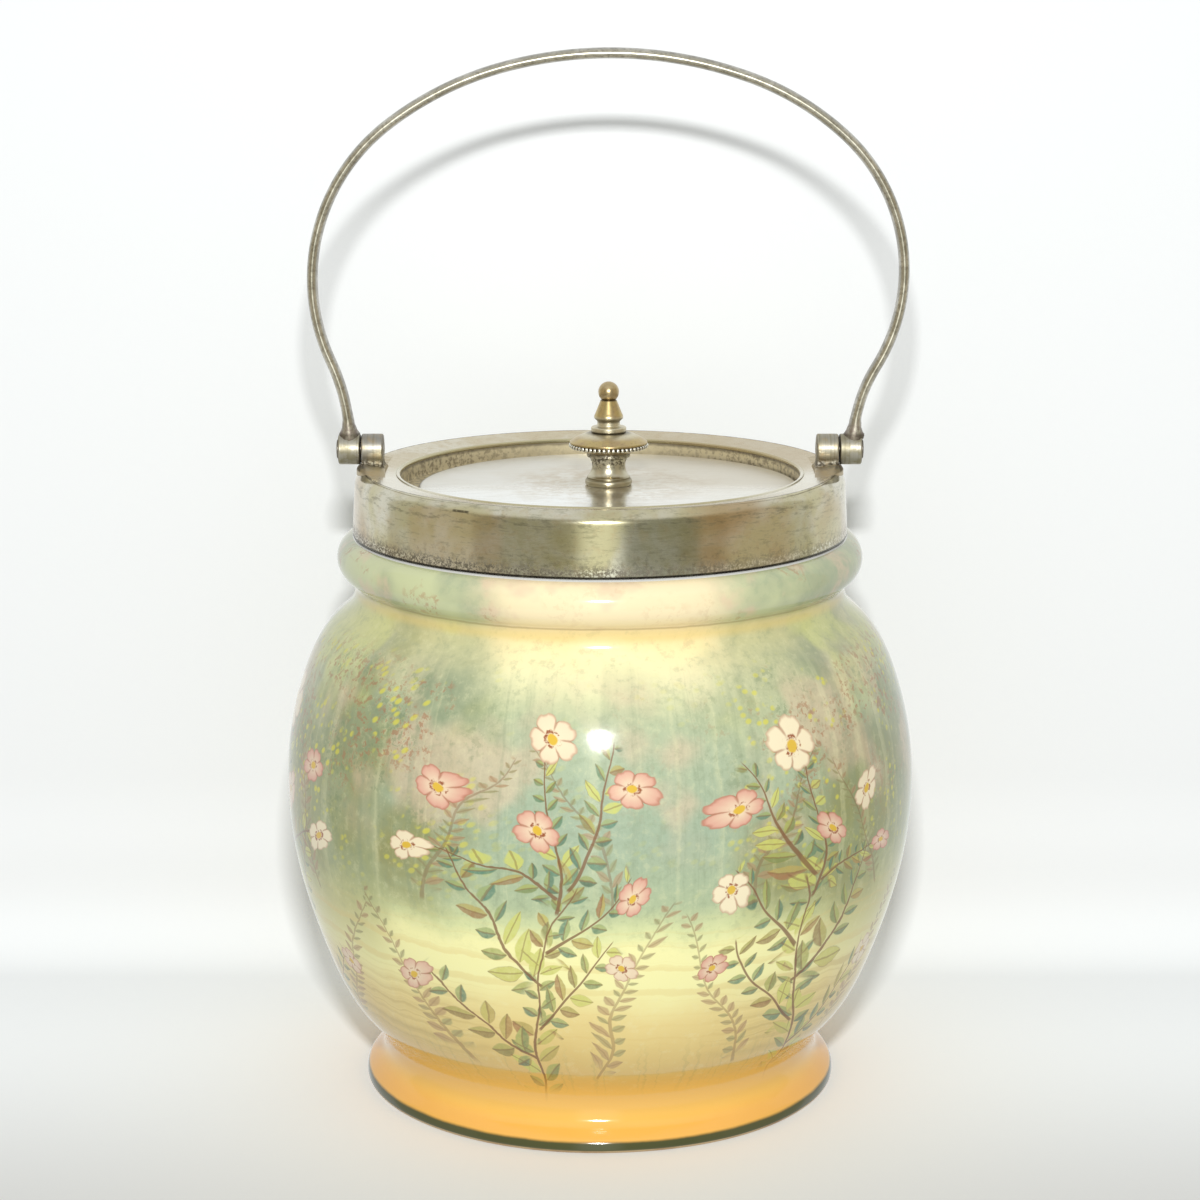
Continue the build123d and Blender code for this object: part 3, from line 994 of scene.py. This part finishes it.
def twig_group():
    given, result = new_group("leafy_twig", twig_inputs, ["Stem", "Leaves", "Tone", "Half"])
    x, y = given["X"], given["Y"]
    along, across = along_and_across(x, y, given["Start X"], given["Start Y"], given["Turn"])
    share = along / given["Length"]
    across = across - given["Bend"] * share * share
    inside = share.above(0.0, 0.03) * share.above(1.02, 0.98)
    width = 0.42 - share * 0.26
    stem = inside * (width - abs(across)).above(-0.12, 0.12)
    side = across.math("SIGN")
    spacing = given["Leaf"] * 0.66
    count = along / spacing + side * 0.25
    number = count.math("FLOOR")
    chance = random_from(number * 3.7 + side * 1.3 + given["Seed"])
    size = given["Leaf"] * (1.12 - share * 0.5) * (chance * 0.42 + 0.72)
    lengthwise = (count - number - 0.5) * spacing
    outward = abs(across) - size * 0.46
    leaf_along = lengthwise * sin(leaf_tilt) + outward * cos(leaf_tilt)
    leaf_across = lengthwise * cos(leaf_tilt) - outward * sin(leaf_tilt)
    half = size * 0.5
    place = leaf_along / half
    belly = (1.0 - place * place) * half * 0.44 * (1.0 - place * 0.25)
    leaves = (belly - abs(leaf_across)).above(-0.16, 0.24) * abs(place).above(1.0, 0.94)
    leaves = leaves * inside * share.above(0.05, 0.12)
    rib = abs(leaf_across).above(0.26, 0.10) * leaves
    lit_half = leaf_across.above(-0.25, 0.25)
    return finished_group(result, stem.highest(rib * 0.55), leaves, chance, lit_half)


# %% [markdown]
# ## A blossom, as a formula
#
# A five-petalled flower is a circle whose radius swells five times on the way round.  The same group
# tells the petals' fold lines and the yellow middle.

# %% Blossom group
blossom_inputs = "X, Y, Start X, Start Y, Size, Turn, Tilt".split(", ")


def blossom_group():
    given, result = new_group("blossom", blossom_inputs, ["Petals", "Depth", "Folds", "Middle"])
    dx = (given["X"] - given["Start X"]) / given["Size"]
    dy = (given["Y"] - given["Start Y"]) / given["Size"] / given["Tilt"]
    reach = (dx * dx + dy * dy).root()
    lobe = abs(((dx.math("ARCTAN2", dy) + given["Turn"]) * 2.5).math("COSINE"))
    edge = lobe.root() * 0.34 + 0.66 - lobe.above(0.93, 1.0) * 0.06
    petals = (edge - reach).above(-0.03, 0.04)
    depth = reach / edge
    folds = lobe.above(0.34, 0.05) * reach.above(0.2, 0.5)
    middle = reach.above(0.25, 0.17)
    return finished_group(result, petals, depth, folds, middle)


# %% [markdown]
# ## Sprays round the pot
#
# The pot is divided into six fields, like the segments of an orange, and a spray grows in each.  The
# whole part of (angle / field) numbers the field.  Every other spray is mirrored, and a random number
# that belongs to the field stretches it and picks its colours.  A broad noise bends each one a little
# differently.

# %% Fields
field_count = 6
field_angle = 2 * pi / field_count
field_offset = radians(16)
root_height = 11.0
around = (angle + field_offset) / field_angle + 0.5
field = around.math("FLOOR")
field_number = (field + 12.0).math("MODULO", float(field_count))
field_chance = random_from(field_number * 7.31 + 2.2)
mirror = field_number.math("MODULO", 2.0) * -2.0 + 1.0
bend_one = noise_at(point, 0.03, 1.0) - 0.5
bend_two = noise_at(moved(point, 60.0), 0.034, 1.0) - 0.5
tremble = noise_at(point, 0.5, 2.0) - 0.5
field_x = (around - field - 0.5) * (field_angle * paint_scale) * mirror
field_x = field_x + bend_one * 20.0 + tremble * 0.5
field_y = (height - root_height) * (field_chance * 0.12 + 0.97) + bend_two * 14.0 + tremble * 0.5

# %% Twigs of one spray
# Each twig: where it starts, which way it points from upright, its length, bend and leaf length.
main_twigs = [
    (0, 0, 4, 62, 7, 7.4),
    (2, 14, -52, 30, 5, 7.6),
    (3, 22, 48, 34, -6, 8.0),
    (6, 34, -40, 38, 7, 7.6),
    (7, 44, 52, 27, -5, 7.2),
    (9, 54, -12, 38, 6, 6.4),
    (8, 58, -58, 25, -5, 6.4),
    (9, 60, 34, 36, -7, 6.6),
]
fine_twigs = [
    (-14, 12, -18, 46, -6, 4.2),
    (18, 10, 16, 50, 6, 4.4),
    (-18, 52, 12, 44, 8, 3.8),
    (22, 56, -14, 42, -8, 4.0),
]
twig_tree = twig_group()


def painted_twigs(twigs, seed):
    """Masks of several twigs as one."""
    stems = leaves = tone = half = None
    for number, (start_x, start_y, turn, length, bend, leaf) in enumerate(twigs):
        grown = (start_x, start_y, radians(turn), length, bend, leaf)
        chance = field_chance * 9.0 + seed + number
        twig = use_group(twig_tree, field_x, field_y, *grown, chance)
        if leaves is None:
            stems, leaves, tone, half = (twig[k] for k in ("Stem", "Leaves", "Tone", "Half"))
            continue
        keep = 1.0 - twig["Leaves"]
        tone = tone * keep + twig["Tone"] * twig["Leaves"]
        half = half * keep + twig["Half"] * twig["Leaves"]
        leaves = leaves.highest(twig["Leaves"])
        stems = stems.highest(twig["Stem"])
    return stems, leaves, tone, half


# %% Lay the far twigs, then the near ones
stem_brown = paint(128, 88, 56)
far_leaf = paint(150, 152, 104)
far_brown = paint(176, 140, 104)
fade = height.above(126.0, 116.0)
stems, leaves, tone, half = painted_twigs(fine_twigs, 31.0)
far_colour = blend(tone.above(0.3, 0.7), far_leaf, far_brown)
wash.coat(leaves * fade * 0.6, far_colour)
wash.coat(stems * fade * 0.45, stem_brown)

leaf_teal = paint(88, 132, 110)
leaf_olive = paint(128, 140, 78)
leaf_lemon = paint(206, 208, 108)
leaf_dark = paint(74, 100, 76)
leaf_rust = paint(164, 112, 72)
stems, leaves, tone, half = painted_twigs(main_twigs, 3.0)
leaf_tones = (leaf_dark, leaf_teal, leaf_olive, leaf_rust, leaf_lemon)
near_colour = ramp(tone, list(zip((0.0, 0.3, 0.5, 0.72, 0.85), leaf_tones)))
near_colour.coat(half * 0.45, leaf_lemon)
grain = noise_at(point, 0.7, 3.0, 0.7)
wash.coat(leaves * fade * (grain * 0.7 + 0.42), near_colour)
wash.coat(stems * fade * 0.85, stem_brown)

# %% Blossoms of one spray
# Each blossom: place, size, turn and tilt.
blossoms = [
    (10, 96, 6.6, 0.2, 0.92),
    (-13, 83, 5.6, 0.7, 0.84),
    (27, 83, 5.8, 0.4, 0.9),
    (-20, 66, 5.0, 0.1, 0.8),
    (27, 60, 5.2, 0.9, 0.88),
    (3, 74, 5.4, 0.6, 1.0),
    (-21, 34, 4.6, 0.3, 0.86),
    (27, 42, 4.4, 0.5, 0.9),
]
petal_cream = paint(246, 232, 196)
petal_pink = paint(220, 158, 140)
petal_rust = paint(158, 88, 56)
middle_yellow = paint(226, 186, 60)
blossom_tree = blossom_group()
for number, blossom in enumerate(blossoms):
    flower = use_group(blossom_tree, field_x, field_y, *blossom)
    blush = random_from(field_number + number * 5.3).above(0.1, 0.9)
    petal = blend(flower["Depth"] * blush, petal_cream, petal_pink)
    petal.coat(flower["Folds"] * 0.6, petal_rust)
    petal.coat(flower["Depth"].above(0.84, 1.0) * 0.55, petal_rust)
    petal.coat(flower["Middle"], middle_yellow)
    ring_of_dots = flower["Depth"].above(0.2, 0.28) * flower["Depth"].above(0.42, 0.34)
    petal.coat(ring_of_dots * grain.above(0.45, 0.6), petal_rust)
    wash.coat(flower["Petals"] * 0.95, petal)

# %% Grass at the foot of the sprays
blades = noise_along(angle * (paint_scale * 0.55) + tremble * 1.5 + height * 0.05, 2.0, 0.6)
grass = blades.above(0.56, 0.66) * height.above(9.0, 15.0) * height.above(34.0, 18.0)
wash.coat(grass * 0.22, olive_green)

# %% [markdown]
# ## Roll, groove and foot
#
# The roll under the collar and the foot are banded by hand while the pot turns on a wheel.  Glaze
# runs into the groove and the waist and looks darker there, because it lies thicker.  A dark line
# along the crease under the roll, and some of the waist's darkening, are painted shade.

# %% Roll and groove
edge = mottle * 1.6
roll_noise = noise_at(moved(point, 5.0), 0.04, 3.0, 0.55)
roll_colour = blend(roll_noise.above(0.40, 0.60), roll_sage, roll_green)
roll_colour.coat(glade * 0.9, roll_peach)
roll_rose = noise_at(moved(point, 35.0), 0.07, 3.0, 0.6).above(0.52, 0.66)
roll_colour.coat(roll_rose * 0.6, rose_pink)
wash.coat((height + edge).above(125.8, 128.2), roll_colour)
roll_gather = noise_at(moved(point, 12.0), 0.07, 3.0, 0.6).above(0.50, 0.60)
roll_gather = roll_gather * height.above(127.0, 129.0) * foliage.above(0.50, 0.58) * away_from_light
wash.coat(roll_gather * 0.55, paint(176, 126, 92))
roll_teal = stipple.above(0.46, 0.60) * roll_noise.above(0.56, 0.44) * height.above(127.0, 129.0)
wash.coat(roll_teal * between * 0.3, paint(150, 168, 136))
in_groove = abs(height + edge * 0.3 - 125.6).above(2.4, 0.3)
wash.coat(in_groove * 0.6, paint(224, 202, 130))
# Painted shade: a darker line along the crease under the roll.
groove_shade_line = abs(height + mottle * 0.8 - 127.4).above(0.42, 0.10)
wash.coat(groove_shade_line * 0.45, paint(150, 126, 76))
# Painted highlight: a thin white line just under the band, where the glaze's edge catches the lamp.
wash.coat(height.above(138.30, 138.42), paint(252, 252, 246))

# %% Foot
wash.coat((height + edge).above(22.0, 9.0), foot_orange)
wash.coat((height + edge).above(9.0, 3.2) * 0.6, deep_orange)
# Darker gold at the waist: glaze lying thicker there, and painted shade where the wall turns in.
waist_glaze_and_shade = height.close_to(11.0, 5.0, 0.6)
wash.coat(waist_glaze_and_shade * 0.35, paint(218, 172, 98))
wash.coat((height + edge * 0.25).above(3.1, 2.3), base_line)

# %% [markdown]
# The inside is plain cream glaze, and so is the hollow under the foot.  The ring that the pot stands
# on is wiped clean before firing, so the bare clay shows there.  Where the surface faces the jar's
# axis, its normal points against the radius.

# %% Inside of the pot, and the glaze
face_x, face_y, face_z = parts_of(made(point.tree, "TexCoord").outputs["Normal"])
outward = (face_x * east_way + face_y * north_way) / (axis_distance + 0.01)
on_floor = axis_distance.above(47.2, 46.6) * height.above(8.0, 9.5)
inside = outward.above(-0.05, -0.25).highest(on_floor)
below = height.above(3.6, 3.4) * axis_distance.above(56.2, 55.6) * abs(face_z).above(0.05, 0.2)
inner_glaze = blend(mottle + 0.5, paint(240, 226, 186), paint(226, 206, 158))
bare_clay = blend(mottle.above(-0.1, 0.2), paint(206, 176, 132), paint(176, 140, 98))
wash.coat(inside.highest(below), inner_glaze)
standing_ring = height.above(0.9, 0.5)
wash.coat(standing_ring, bare_clay)
peel = noise_at(point, 0.16, 2.0, 0.5)
grit = noise_at(point, 1.3, 2.0, 0.5)
fill(
    pot_shader,
    Base_Color=wash,
    IOR=1.5,
    Normal=bumped(peel + grit * 0.08, 0.10, 0.35),
    Roughness=grit * 0.05 + 0.085 + standing_ring * 0.5,
)

# %% [markdown]
# ## Worn plate
#
# Silver plate wears through on its high places and tarnishes in its corners, and polishing leaves
# fine scratches that run round a turned piece.  One shader group makes all of that from a point:
# broad stains, fine mottling, scratches and specks.  Each piece then chooses its own two metals and
# says where its dirt lies.

# %% Wear group
wear_inputs = ["Vector", "Radius", "Height", "Round"]
wear_outputs = ["Stain", "Mottle", "Scratches", "Specks", "Fine"]


def wear_group():
    given, result = new_group("plate_wear", wear_inputs, wear_outputs)
    spot = given["Vector"]
    stain = noise_at(spot, 0.055, 3.0, 0.6, 0.5).above(0.40, 0.64)
    mottle = noise_at(spot, 0.45, 4.0, 0.65)
    line = vector_of(given["Round"] * 0.05, given["Radius"] * 2.6, given["Height"] * 2.6)
    scratches = noise_at(line, 1.0, 5.0, 0.75)
    specks = noise_at(spot, 2.3, 3.0, 0.7).above(0.54, 0.66)
    fine = noise_at(spot, 1.1, 2.0, 0.6)
    return finished_group(result, stain, mottle, scratches, specks, fine)


wear_tree = wear_group()


def worn(name, centre_x=0.0):
    """A material, and what its metal's finish needs: shader, places, and masks of a turned piece."""
    material, shader = finish_material(name)
    shader.inputs["Metallic"].default_value = 1.0
    point, x, y, z = place_mm(shader.id_data)
    x = x - centre_x / MM
    radius = (x * x + y * y).root()
    angle = x.math("ARCTAN2", y * -1.0)
    masks = use_group(wear_tree, point, radius, z, angle * paint_scale)
    found = {title.lower(): mask for title, mask in masks.items()}
    found.update(shader=shader, point=point, x=x, y=y, z=z, radius=radius, angle=angle)
    return material, SimpleNamespace(**found)


# %% Metals
silver = paint(230, 228, 216)
nickel = paint(207, 203, 186)
olive_plate = paint(192, 185, 150)
brown_plate = paint(182, 160, 122)
brass = paint(194, 174, 122)
# grime_and_shade is real dirt in some places, and painted shade in gaps and under edges in others.
grime_and_shade = paint(72, 62, 48)

# %% [markdown]
# ## Collar
#
# The band has lost most of its silver, so the yellowish metal below shows, with brown stains on it.
# Dirt has settled along its lower edge, where a cloth never reaches, and the near-black line at the
# very edge is painted shade of the gap under the band.

# %% Band finish
band_plate, wear = worn("band_plate")
colour = blend(wear.stain, nickel, olive_plate)
browned = noise_at(wear.point, 0.03, 2.0).above(0.44, 0.6) * abs(wear.angle).above(0.2, 0.5)
colour.coat(browned * 0.8, paint(174, 150, 110))
blots = noise_at(wear.point, 0.75, 4.0, 0.7)
colour.coat(wear.mottle.above(0.5, 0.7) * 0.30, brown_plate)
left_half = wear.angle.above(0.9, -0.3) * 0.55 + 0.45
crumbs = noise_at(wear.point, 1.7, 4.0, 0.75)
worn_edge = (wear.z + blots * 2.0 - 1.0).above(141.6, 140.2)
colour.coat(worn_edge * crumbs.above(0.52, 0.42) * 0.6, silver)
low_dirt = (wear.z + wear.mottle * 2.4 - 1.2).above(143.0, 140.4)
specked = low_dirt * crumbs.above(0.42, 0.56) * left_half
colour.coat(specked * 0.85, grime_and_shade)
dull_patches = blots.above(0.50, 0.62) * wear.z.above(147.0, 141.5)
colour.coat(dull_patches * 0.28, paint(104, 102, 92))
# Painted shade: a near-black line along the band's lower edge, for the gap between band and pot.
colour.coat(wear.z.above(139.6, 139.3), paint(34, 28, 22))
rubbed_line = vector_of(wear.angle * 14.0, 0.0, wear.z * 1.1)
brushed = noise_at(rubbed_line, 0.8, 5.0, 0.75)
colour.coat(brushed.above(0.50, 0.66) * 0.42, paint(108, 106, 76))
colour.coat(wear.specks * blots.above(0.48, 0.60) * 0.2, grime_and_shade)
upper_part = wear.z.above(148.5, 151.5) * wear.z.above(152.9, 152.3)
colour.coat(brushed.above(0.46, 0.60) * upper_part * 0.35, paint(104, 100, 78))
# Painted shade: a short dark mark on the shoulder, for a small dent that the shape does not have.
dent_shade = abs(wear.angle + 0.565).above(0.044, 0.03) * wear.z.close_to(152.7, 0.34, 0.16)
colour.coat(dent_shade * crumbs.above(0.30, 0.46) * 0.8, paint(60, 52, 40))
haze = brushed.above(0.40, 0.62) * wear.mottle
polish = wear.scratches * 0.12 + wear.stain * 0.03 + 0.06
fill(
    wear.shader,
    Base_Color=colour,
    Metallic=(1.0 - specked * 0.5) * (1.0 - haze * 0.25),
    Roughness=polish + specked * 0.25,
    Normal=bumped(wear.scratches + wear.fine * 0.4, 0.008, 0.5),
)

# %% Ring and bracket finish
ring_plate, wear = worn("ring_plate")
colour = blend(wear.stain, paint(206, 198, 176), paint(194, 180, 146))
colour.coat(wear.mottle.above(0.42, 0.72) * 0.45, brown_plate)
lip = wear.radius.above(50.4, 49.9)
colour.coat(lip * 0.75, olive_plate)
warmer = wear.x.above(-5.0, 30.0) * wear.y.above(-20.0, 20.0)
colour.coat(warmer * 0.6, paint(180, 160, 122))
# Painted highlight: the ring's shoulder lighter on both sides, where it catches the light.
rim_highlight = abs(abs(wear.angle) - 1.15).above(0.6, 0.2)
colour.coat(rim_highlight * 0.7, paint(236, 232, 218))
seam = wear.radius.close_to(57.4, 0.45, 0.12) * wear.z.above(154.0, 154.3)
colour.coat(seam * wear.mottle.above(0.35, 0.5) * 0.8, grime_and_shade)
fill(
    wear.shader,
    Base_Color=colour,
    Roughness=wear.scratches * 0.14 + wear.mottle * 0.14 + 0.10,
    Normal=bumped(wear.scratches * 0.5 + wear.fine * 0.4, 0.008, 0.5),
)

bracket_plate, wear = worn("bracket_plate")
colour = blend(wear.stain * 0.5, paint(158, 155, 148), olive_plate)
colour.coat(wear.mottle.above(0.46, 0.66) * 0.5, brown_plate)
colour.coat(wear.z.above(155.4, 154.4) * 0.6, paint(186, 166, 126))
lumps = noise_at(wear.point, 1.5, 2.0, 0.6)
turned_marks = noise_along(wear.x * 1.5 + wear.mottle * 0.5, 4.0, 0.7)
on_tube = wear.z.above(155.6, 156.4)
colour.coat(turned_marks.above(0.48, 0.66) * on_tube * 0.5, paint(120, 112, 92))
joint = wear.z.close_to(155.4, 2.0, 0.4) * abs(wear.y).above(5.0, 3.2)
colour.coat(joint * lumps.above(0.44, 0.58) * 0.85, grime_and_shade)
# Painted shade: dark rings at both ends of the bracket's tube, in the gaps beside the pin's head and
# the handle's tube.
inner_end = abs(wear.x).above(53.1, 52.9) * wear.z.above(154.6, 155.2)
colour.coat(inner_end * 0.4, grime_and_shade)
outer_end = abs(wear.x).above(58.0, 58.2) * wear.z.above(154.0, 154.6)
colour.coat(outer_end * 0.5, grime_and_shade)
# Painted shade, broken up by lumps: darker along the leaf's lower edge, where it meets the collar.
colour.coat(wear.z.above(152.4, 151.8) * lumps.above(0.40, 0.55) * 0.5, grime_and_shade)
fill(
    wear.shader,
    Base_Color=colour,
    Roughness=wear.mottle * 0.30 + joint * 0.2 + 0.30,
    Normal=bumped(lumps * joint * 5.0 + wear.fine, 0.03, 0.8),
)

seat_plate, wear = worn("seat_plate")
crust = noise_at(wear.point, 0.8, 4.0, 0.7).above(0.46, 0.60)
crust = crust * (abs(wear.x).above(10.0, 40.0) * 0.5 + 0.15)
colour = blend(crust, paint(206, 194, 160), paint(104, 90, 74))
# Painted shade: the seat's wall darker just under the collar's lip.
shade_below_lip = (wear.z + wear.mottle * 0.8 - 0.4).above(151.6, 152.4)
colour.coat(shade_below_lip * 0.7, grime_and_shade)
fill(
    wear.shader,
    Base_Color=colour,
    Metallic=0.75 - wear.mottle * 0.6,
    Roughness=wear.mottle * 0.3 + 0.30,
)

# %% [markdown]
# ## Lid and knob
#
# The lid has kept its silver, and shows a milky haze of fine scratches.  The knob is handled every
# day: its ball, cone and dome are rubbed down to golden brass, and dirt fills its grooves.

# %% Lid finish
lid_plate, wear = worn("lid_plate", lid_x)
straight = vector_of(wear.x * 0.06, wear.y * 1.5, 0.0)
rubbed = noise_at(straight, 1.0, 5.0, 0.7, 0.4)
colour = blend(wear.stain * 0.4, paint(246, 248, 246), silver)
warm = wear.x.above(-22.0, 24.0) * 0.4 + wear.y.above(-25.0, 5.0) * 0.35
colour.coat(warm, paint(224, 215, 194))
colour.coat(rubbed.above(0.52, 0.66) * 0.2, paint(206, 196, 172))
cloudy = noise_at(wear.point, 0.075, 5.0, 0.7).above(0.47, 0.60)
colour.coat(cloudy * wear.radius.above(36.0, 18.0) * 0.4, paint(206, 192, 166))
colour.coat(wear.radius.above(16.0, 8.0) * 0.4, nickel)
scuffed = wear.radius.above(32.0, 10.0) * wear.mottle.above(0.44, 0.60)
colour.coat(scuffed * 0.45, paint(190, 172, 140))
# A dark ring at the lid's edge, where it sits in the seat: tarnish, and painted shade of the gap.
colour.coat(wear.radius.above(45.6, 46.3) * 0.8, grime_and_shade)
handled = wear.y.above(8.0, -14.0)  # the half that is nearer to the user is rubbed smoother
swell_noise = noise_at(wear.point, 0.05, 2.0, 0.5)
fill(
    wear.shader,
    Base_Color=colour,
    Metallic=0.68 - rubbed.above(0.35, 0.65) * 0.22 + handled * 0.30,
    Roughness=rubbed * 0.20 + wear.mottle * 0.10 + 0.22 - handled * 0.20,
    Normal=bumped(swell_noise * 12.0 + rubbed * 0.5, 0.03, 0.6),
)

# %% Knob finish
knob_brass, wear = worn("knob_brass", lid_x)
lighter = wear.z.above(161.6, 162.6) * wear.z.above(167.4, 166.4)
colour = blend(wear.mottle.above(0.4, 0.7), brass, brown_plate)
colour.coat(lighter * 0.8, paint(216, 210, 188))
colour.coat(wear.z.above(170.6, 171.6) * 0.5, paint(182, 164, 136))
grooves = wear.z.close_to(166.0, 0.8, 0.2).highest(wear.z.close_to(163.1, 0.5, 0.1))
grooves = grooves.highest(wear.z.close_to(171.0, 0.5, 0.1))
colour.coat(grooves * 0.7, grime_and_shade)
colour.coat(wear.specks * 0.25, grime_and_shade)
fill(
    wear.shader,
    Base_Color=colour,
    Roughness=wear.mottle * 0.2 + lighter * 0.06 + 0.22,
    Normal=bumped(wear.scratches + wear.fine, 0.01, 0.6),
)

knob_plate, wear = worn("knob_plate", lid_x)
colour = blend(wear.stain * 0.6, paint(210, 205, 192), olive_plate)
blotches = noise_at(wear.point, 1.3, 4.0, 0.7)
waist_dirt = wear.z.close_to(156.8, 3.4, 1.0) * blotches.above(0.47, 0.56)
# Painted shade: a dark band just under the beads, and a dark line in the step at the pedestal's foot.
under = wear.z.above(157.0, 158.4).highest(wear.z.close_to(151.7, 0.5, 0.15))
colour.coat(waist_dirt.highest(under) * 0.85, grime_and_shade)
colour.coat(wear.z.above(152.8, 152.0) * 0.55, paint(158, 148, 116))
fill(
    wear.shader,
    Base_Color=colour,
    Roughness=wear.mottle * 0.25 + waist_dirt * 0.3 + 0.20,
    Normal=bumped(wear.scratches + wear.fine, 0.01, 0.6),
)

bead_plate, wear = worn("bead_plate", lid_x)
across_ring = wear.radius - 9.2
below_ring = wear.z - 159.75
from_core = (across_ring * across_ring + below_ring * below_ring).root()
colour = blend(from_core.above(0.47, 0.36), silver, grime_and_shade)
colour.coat(wear.radius.above(9.0, 8.7) * 0.8, grime_and_shade)
fill(wear.shader, Base_Color=colour, Roughness=wear.fine * 0.2 + 0.14)

# %% [markdown]
# ## Handle wire and steel
#
# The handle is dull pewter grey, rubbed a little yellow along its middle, with grey solder at its
# feet.  The pins, the stud, the nut and the washer are plain steel, darkened by age.

# %% Handle finish
wire_metal, wear = worn("wire_metal")
along_wire = noise_at(wear.point, 0.2, 3.0, 0.6)
pewter = paint(166, 163, 156)
colour = blend(along_wire.above(0.4, 0.65), pewter, paint(196, 193, 186))
rubbed_edge = abs(wear.y).above(1.3, 2.0)
colour.coat(rubbed_edge * 0.3, olive_plate)
colour.coat(wear.fine.above(0.48, 0.66) * 0.4, paint(104, 98, 88))
foot_z = wear.z.above(167.0, 163.5)
solder_lumps = noise_at(wear.point, 1.2, 3.0, 0.6)
colour.coat(foot_z * solder_lumps.above(0.40, 0.56) * 0.6, paint(132, 116, 112))
colour.coat((wear.z + solder_lumps).above(163.8, 162.9) * 0.7, grime_and_shade)
fill(
    wear.shader,
    Base_Color=colour,
    Roughness=wear.mottle * 0.26 + foot_z * 0.25 + 0.20,
    Normal=bumped(wear.fine + foot_z * solder_lumps * 6.0, 0.02, 0.6),
)

tube_plate, wear = worn("tube_plate")
colour = blend(wear.mottle.above(0.44, 0.62) * 0.7, paint(172, 168, 156), paint(150, 143, 116))
turned_marks = noise_along(wear.x * 1.5 + wear.mottle * 0.5, 4.0, 0.7)
colour.coat(turned_marks.above(0.50, 0.68) * 0.4, paint(120, 112, 92))
# Painted shade: dark rings at both ends of the tube, in the gaps beside the bracket's tube and the
# pin's head.
tube_ends = abs(wear.x).above(58.7, 58.5).highest(abs(wear.x).above(63.5, 63.75))
colour.coat(tube_ends * 0.7, grime_and_shade)
fill(
    wear.shader,
    Base_Color=colour,
    Roughness=wear.mottle * 0.35 + 0.28,
    Normal=bumped(wear.fine + wear.mottle * 2.0, 0.03, 0.7),
)

steel, wear = worn("aged_steel")
fill(
    wear.shader,
    Base_Color=blend(wear.mottle, paint(150, 146, 138), grime_and_shade),
    Roughness=wear.mottle * 0.3 + 0.2,
)

plaster, shader = finish_material("plaster")
point, x, y, z = place_mm(shader.id_data)
crumb = noise_at(point, 0.8, 4.0, 0.7)
chalk = blend(crumb, paint(226, 220, 204), paint(196, 186, 164))
fill(shader, Base_Color=chalk, Normal=bumped(crumb, 0.1, 0.6), Roughness=0.9)

# %% [markdown]
# ## Putting it together
#
# Each finished piece is tied to the body that it moves with, and to the CAD nodes that it stands for.

# %% Dress the made pieces
dress(pot, "root", "glazed_earthenware", glaze, "jar_body")
dress(band, "root", "plated_collar", band_plate, "collar_band")
dress(top_ring, "root", "plated_collar", ring_plate, "collar_top_ring")
dress(seat_ring, "root", "plated_collar", seat_plate, "lid_seat_ring")
for side, bracket in brackets.items():
    stands_for = (f"bracket_foot_{side}", f"bracket_knuckle_{side}")
    dress(bracket, "root", "plated_collar", bracket_plate, *stands_for)
dress(lid, "lid", "plated_lid", lid_plate, "lid_disc")
dress(pedestal, "lid", "turned_knob", knob_plate, "knob_pedestal")
dress(dome, "lid", "turned_knob", knob_brass, "knob_dome")
dress(spire, "lid", "turned_knob", knob_brass, "knob_spire")
dress(bead_ring("beads", bead_plate), "lid", "turned_knob", bead_plate, "knob_bead_wire")
dress(bow, "handle", "handle_wire", wire_metal, "handle_bow")

# %% Dress the CAD nodes that stay
node_finishes = {
    "handle_knuckle_left": tube_plate,
    "handle_knuckle_right": tube_plate,
    "hinge_pin_left": steel,
    "hinge_pin_right": steel,
    "knob_stud": steel,
    "knob_washer": steel,
    "knob_nut": steel,
    "plaster_bed": plaster,
}
for node, finish in node_finishes.items():
    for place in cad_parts[node].material_slots:
        place.material = finish
